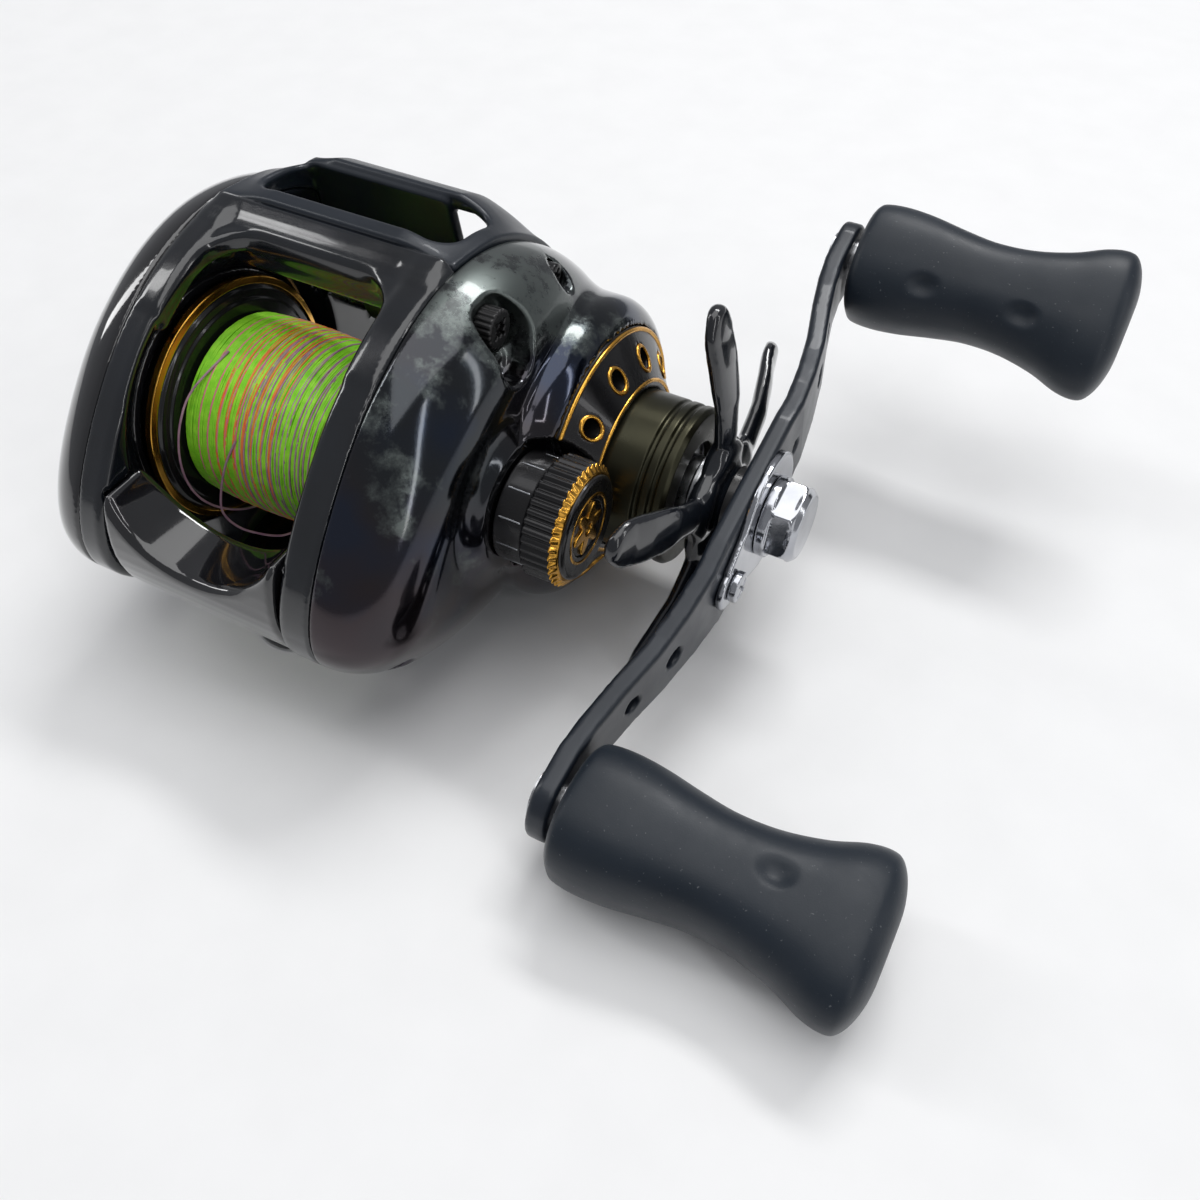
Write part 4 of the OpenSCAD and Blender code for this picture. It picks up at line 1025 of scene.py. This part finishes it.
shape("boss_disc", boss_field, (31.2, -18.8, -18.8), (37.2, 18.8, 18.8), 0.3, ON_DRIVE,
      "reel_frame", "plate_black", ["boss_plate"])
shape("boss_gold_edges", boss_rings_field, (31.8, -18.8, -18.8), (37.2, 18.8, 18.8), 0.22, ON_DRIVE,
      "reel_frame", "plate_black", look=GOLD)
lathe("olive_tube", [
    (8.0, 31.3), (10.88, 31.3), (10.88, 41.5), (10.5, 41.7), (10.5, 42.2), (10.88, 42.4), (10.88, 43.4),
    (10.5, 43.6), (10.5, 44.1), (10.88, 44.3), (10.88, 45.2), (10.4, 45.78), (6.6, 45.78), (6.4, 45.5),
    (6.4, 44.4), (8.0, 44.4),
], ON_DRIVE, "reel_frame", "tube_olive", ["bearing_tube"], steps=160)
lathe("cap_body", [
    (5.0, 30.55), (7.1, 30.55), (7.1, 34.4), (7.3, 34.6, 0), (7.9, 34.7, 0.45), (7.9, 38.5, 0.45),
    (7.4, 38.7), (6.9, 38.75), (6.7, 39.75), (6.3, 39.95), (3.9, 39.8), (3.6, 39.7), (5.0, 38.0),
], ON_SPOOL, "cast_cap", "plate_black", ["cast_cap"], teeth=40)
lathe("cap_gold_edge", [
    (6.6, 38.5), (7.96, 38.52, 0.45), (7.96, 38.66, 0.45), (7.05, 39.4, 0), (6.6, 39.5),
], ON_SPOOL, "cast_cap", "plate_black", look=GOLD, teeth=40)


def rosette_field(x, y, z):
    """A plain six-petal rosette, a little proud of the cap's face."""
    r = np.hypot(y, z)
    angle = np.arctan2(z, y)
    edge = 2.6 + 0.9 * np.cos(6 * angle)
    petals = both((r - edge) * 0.6, 0.75 - r, 0.1)
    ring = np.abs(r - 4.5) - 0.22
    return both(np.minimum(petals, ring), span(x, 39.3, 39.92), 0.08)


shape("cap_rosette", rosette_field, (39.0, -5.2, -5.2), (40.3, 5.2, 5.2), 0.16, ON_SPOOL,
      "cast_cap", "plate_black", look=GOLD)
lathe("cap_face", [(0.05, 38.0), (5.2, 38.0), (6.2, 39.4), (6.2, 39.6), (0.05, 39.6)], ON_SPOOL,
      "cast_cap", "plate_black", steps=96)


INDEX_LINES = 12


def index_field(x, y, z):
    """Bright index lines round the cap's sleeve."""
    r = np.hypot(y, z)
    angle = fold(np.arctan2(z, y), INDEX_LINES)
    return np.maximum(np.maximum(np.abs(angle) * r - 0.13, span(r, 6.8, 7.14)), span(x, 30.9, 34.1))


shape("cap_index_lines", index_field, (30.6, -7.5, -7.5), (34.4, 7.5, 7.5), 0.14, ON_SPOOL,
      "cast_cap", "plate_black", look=LOOKS["insert"])


# -------- nut, keeper and screws
def hexagon(y, z, half):
    """Inside a hexagon whose flats are half from its middle."""
    return np.maximum(np.maximum(np.abs(z), np.abs(0.866 * y + 0.5 * z)), np.abs(0.866 * y - 0.5 * z)) - half


def nut_field(x, s, w):
    """A hexagon nut with a collar below and a round crown above."""
    r = np.hypot(s, w)
    body = both(hexagon(s, w, 4.85), span(x, ARM_X + 2.2, ARM_X + 5.4), 0.18)
    body = both(body, r - 5.75 + 0.9 * np.maximum(x - ARM_X - 4.7, 0), 0.15)
    body = both(body, r - 5.75 + 0.9 * np.maximum(ARM_X + 2.8 - x, 0), 0.15)
    collar = both(r - 5.45, span(x, ARM_X + 1.05, ARM_X + 2.4), 0.2)
    crown = both(r - 5.0 + 0.9 * np.maximum(x - ARM_X - 5.4, 0), span(x, ARM_X + 5.0, ARM_X + 6.15), 0.2)
    d = either(either(body, collar, 0.15), crown, 0.12)
    return np.maximum(d, -np.maximum(r - 2.05, x - ARM_X - 2.1))


shape("hex_nut", nut_field, (ARM_X + 0.6, -6.2, -6.2), (ARM_X + 6.7, 6.2, 6.2), 0.2, ON_HANDLE,
      "crank", "chrome", ["handle_nut"])
KEEPER = outline([(-15, -2.4), (-12.5, -3.2), (0, -8), (0, 8), (-12.5, 3.2), (-15, 2.4)])
KEEPER_SCREW_S = -11.5


def keeper_field(x, s, w):
    """A drop-shaped plate round the nut, with a hole for its screw."""
    r = np.hypot(s, w)
    plan = either(KEEPER(s, w), r - 8.5, 0.8)
    plan = both(plan, np.hypot(np.maximum(-s - 12.2, 0), w) - 2.9 - 20 * (s > -12.2), 0.1)
    d = both(plan, span(x, ARM_X + 0.02, ARM_X + 1.0), 0.28)
    d = np.maximum(d, 2.4 - r)
    return np.maximum(d, 1.1 - np.hypot(s - KEEPER_SCREW_S, w))


shape("keeper_plate", keeper_field, (ARM_X - 0.4, -15.6, -9.2), (ARM_X + 1.5, 9.2, 9.2), 0.24, ON_HANDLE,
      "crank", "chrome", ["nut_keeper"])


def head_field(x, a, b, radius, height, turn=0.4):
    """A low domed screw head on x = 0 with a cross slot."""
    r = np.hypot(a, b)
    d = both(both(r - radius, span(x, 0, height), 0.3), r * r * 0.055 + x - height, 0.15)
    u, v = a * math.cos(turn) + b * math.sin(turn), b * math.cos(turn) - a * math.sin(turn)
    cross = np.minimum(np.maximum(np.abs(u) - 0.22, np.abs(v) - radius * 0.62),
                       np.maximum(np.abs(v) - 0.22, np.abs(u) - radius * 0.62))
    return without(d, np.maximum(cross, height - 0.55 - x), 0.06)


shape("keeper_screw_head", lambda x, s, w: head_field(x - ARM_X - 1.01, s - KEEPER_SCREW_S, w, 2.1, 1.3),
      (ARM_X + 0.7, -14, -2.6), (ARM_X + 2.7, -9, 2.6), 0.15, ON_HANDLE, "crank", "chrome",
      ["keeper_screw"])


def cover_screw(number, cy, cz, tall):
    """A screw head at the bottom of its pocket in the gear cover."""
    shape(f"cover_screw_{number}",
          lambda x, y, z: head_field(x - SCREW_SEAT_X - 0.02, y - cy, z - cz, 1.45, tall, 0.9),
          (SCREW_SEAT_X - 0.4, cy - 2.4, cz - 2.4), (SCREW_SEAT_X + tall + 0.5, cy + 2.4, cz + 2.4), 0.14,
          ON_SPOOL, "reel_frame", "screw_black", ["cover_screws"])


cover_screw(1, *COVER_SCREWS[0], 2.9)
cover_screw(2, *COVER_SCREWS[1], 1.3)


def release_field(x, y, z):
    """A long screw with a knurled head that has a square socket and a cross slot."""
    r = np.hypot(y, z)
    rim = 2.4 - 0.16 * np.clip(-1.5 * np.cos(20 * np.arctan2(z, y)), 0, 1)
    d = both((r - rim) * 0.8, span(x, 22.62, 25.1), 0.22)
    d = either(d, both(r - 1.2, span(x, -20.4, 23), 0.1), 0.1)
    u, v = y * 0.8 + z * 0.6, z * 0.8 - y * 0.6
    socket = np.maximum(np.abs(u), np.abs(v)) - 0.8
    cross = np.maximum(np.minimum(np.abs(u), np.abs(v)) - 0.2, r - 1.5)
    return without(d, np.maximum(np.minimum(socket, cross), 24.3 - x), 0.08)


shape("release_screw_knurled", release_field, (-20.9, -2.8, -2.8), (25.7, 2.8, 2.8), 0.16,
      place(SCREW_Y, SCREW_Z), "release_screw", "screw_black", ["release_screw"])
lathe("brake_knob", [
    (0.05, -22.3), (2.45, -22.3), (2.45, -25.0), (9.6, -25.05), (10.4, -25.2, 0.6), (10.4, -26.8, 0.6),
    (9.5, -27.0), (8.7, -27.05), (8.5, -27.55), (0.05, -27.55),
], ON_SPOOL, "brake_dial", "plate_black", ["brake_dial"], teeth=36)

# -------- floor and light
bpy.ops.mesh.primitive_plane_add(size=4, location=(0, 0, -0.0002))
floor = bpy.context.object
floor.name = "floor"
PALE = finish("pale_floor", (0.86, 0.86, 0.86), (0.84, 0.84, 0.84), (0.55, 0.6), depth=0.0, grain=20)
floor.data.materials.append(PALE)


def area_light(name, spot, aim, size, power, tall=None):
    """A square lamp, or a strip when it is tall; places in metres."""
    data = bpy.data.lights.new(name, "AREA")
    data.energy = power
    data.size = size
    if tall:
        data.shape = "RECTANGLE"
        data.size_y = tall
    lamp = bpy.data.objects.new(name, data)
    lamp.location = spot
    lamp.rotation_euler = (Vector(aim) - Vector(spot)).to_track_quat("-Z", "Y").to_euler()
    scene.collection.objects.link(lamp)


area_light("key", (0.05, 0.55, 0.80), (0.02, 0, 0.02), 0.5, 3.4, 0.14)
area_light("top", (0.05, 0.05, 1.25), (0.02, 0, 0.02), 1.1, 7.0)
area_light("left", (-0.80, -0.10, 0.60), (0.02, 0, 0.02), 0.12, 1.6, 0.7)
area_light("tube_near", (0.70, -0.30, 0.50), (0.03, 0, 0.02), 0.05, 0.9, 0.8)
area_light("tube_far", (0.85, 0.25, 0.45), (0.03, 0, 0.02), 0.05, 0.7, 0.8)
world = bpy.data.worlds.new("studio")
world.use_nodes = True
world.node_tree.nodes["Background"].inputs["Color"].default_value = (0.93, 0.95, 1, 1)
world.node_tree.nodes["Background"].inputs["Strength"].default_value = 0.30
scene.world = world
scene.view_settings.view_transform = "Standard"
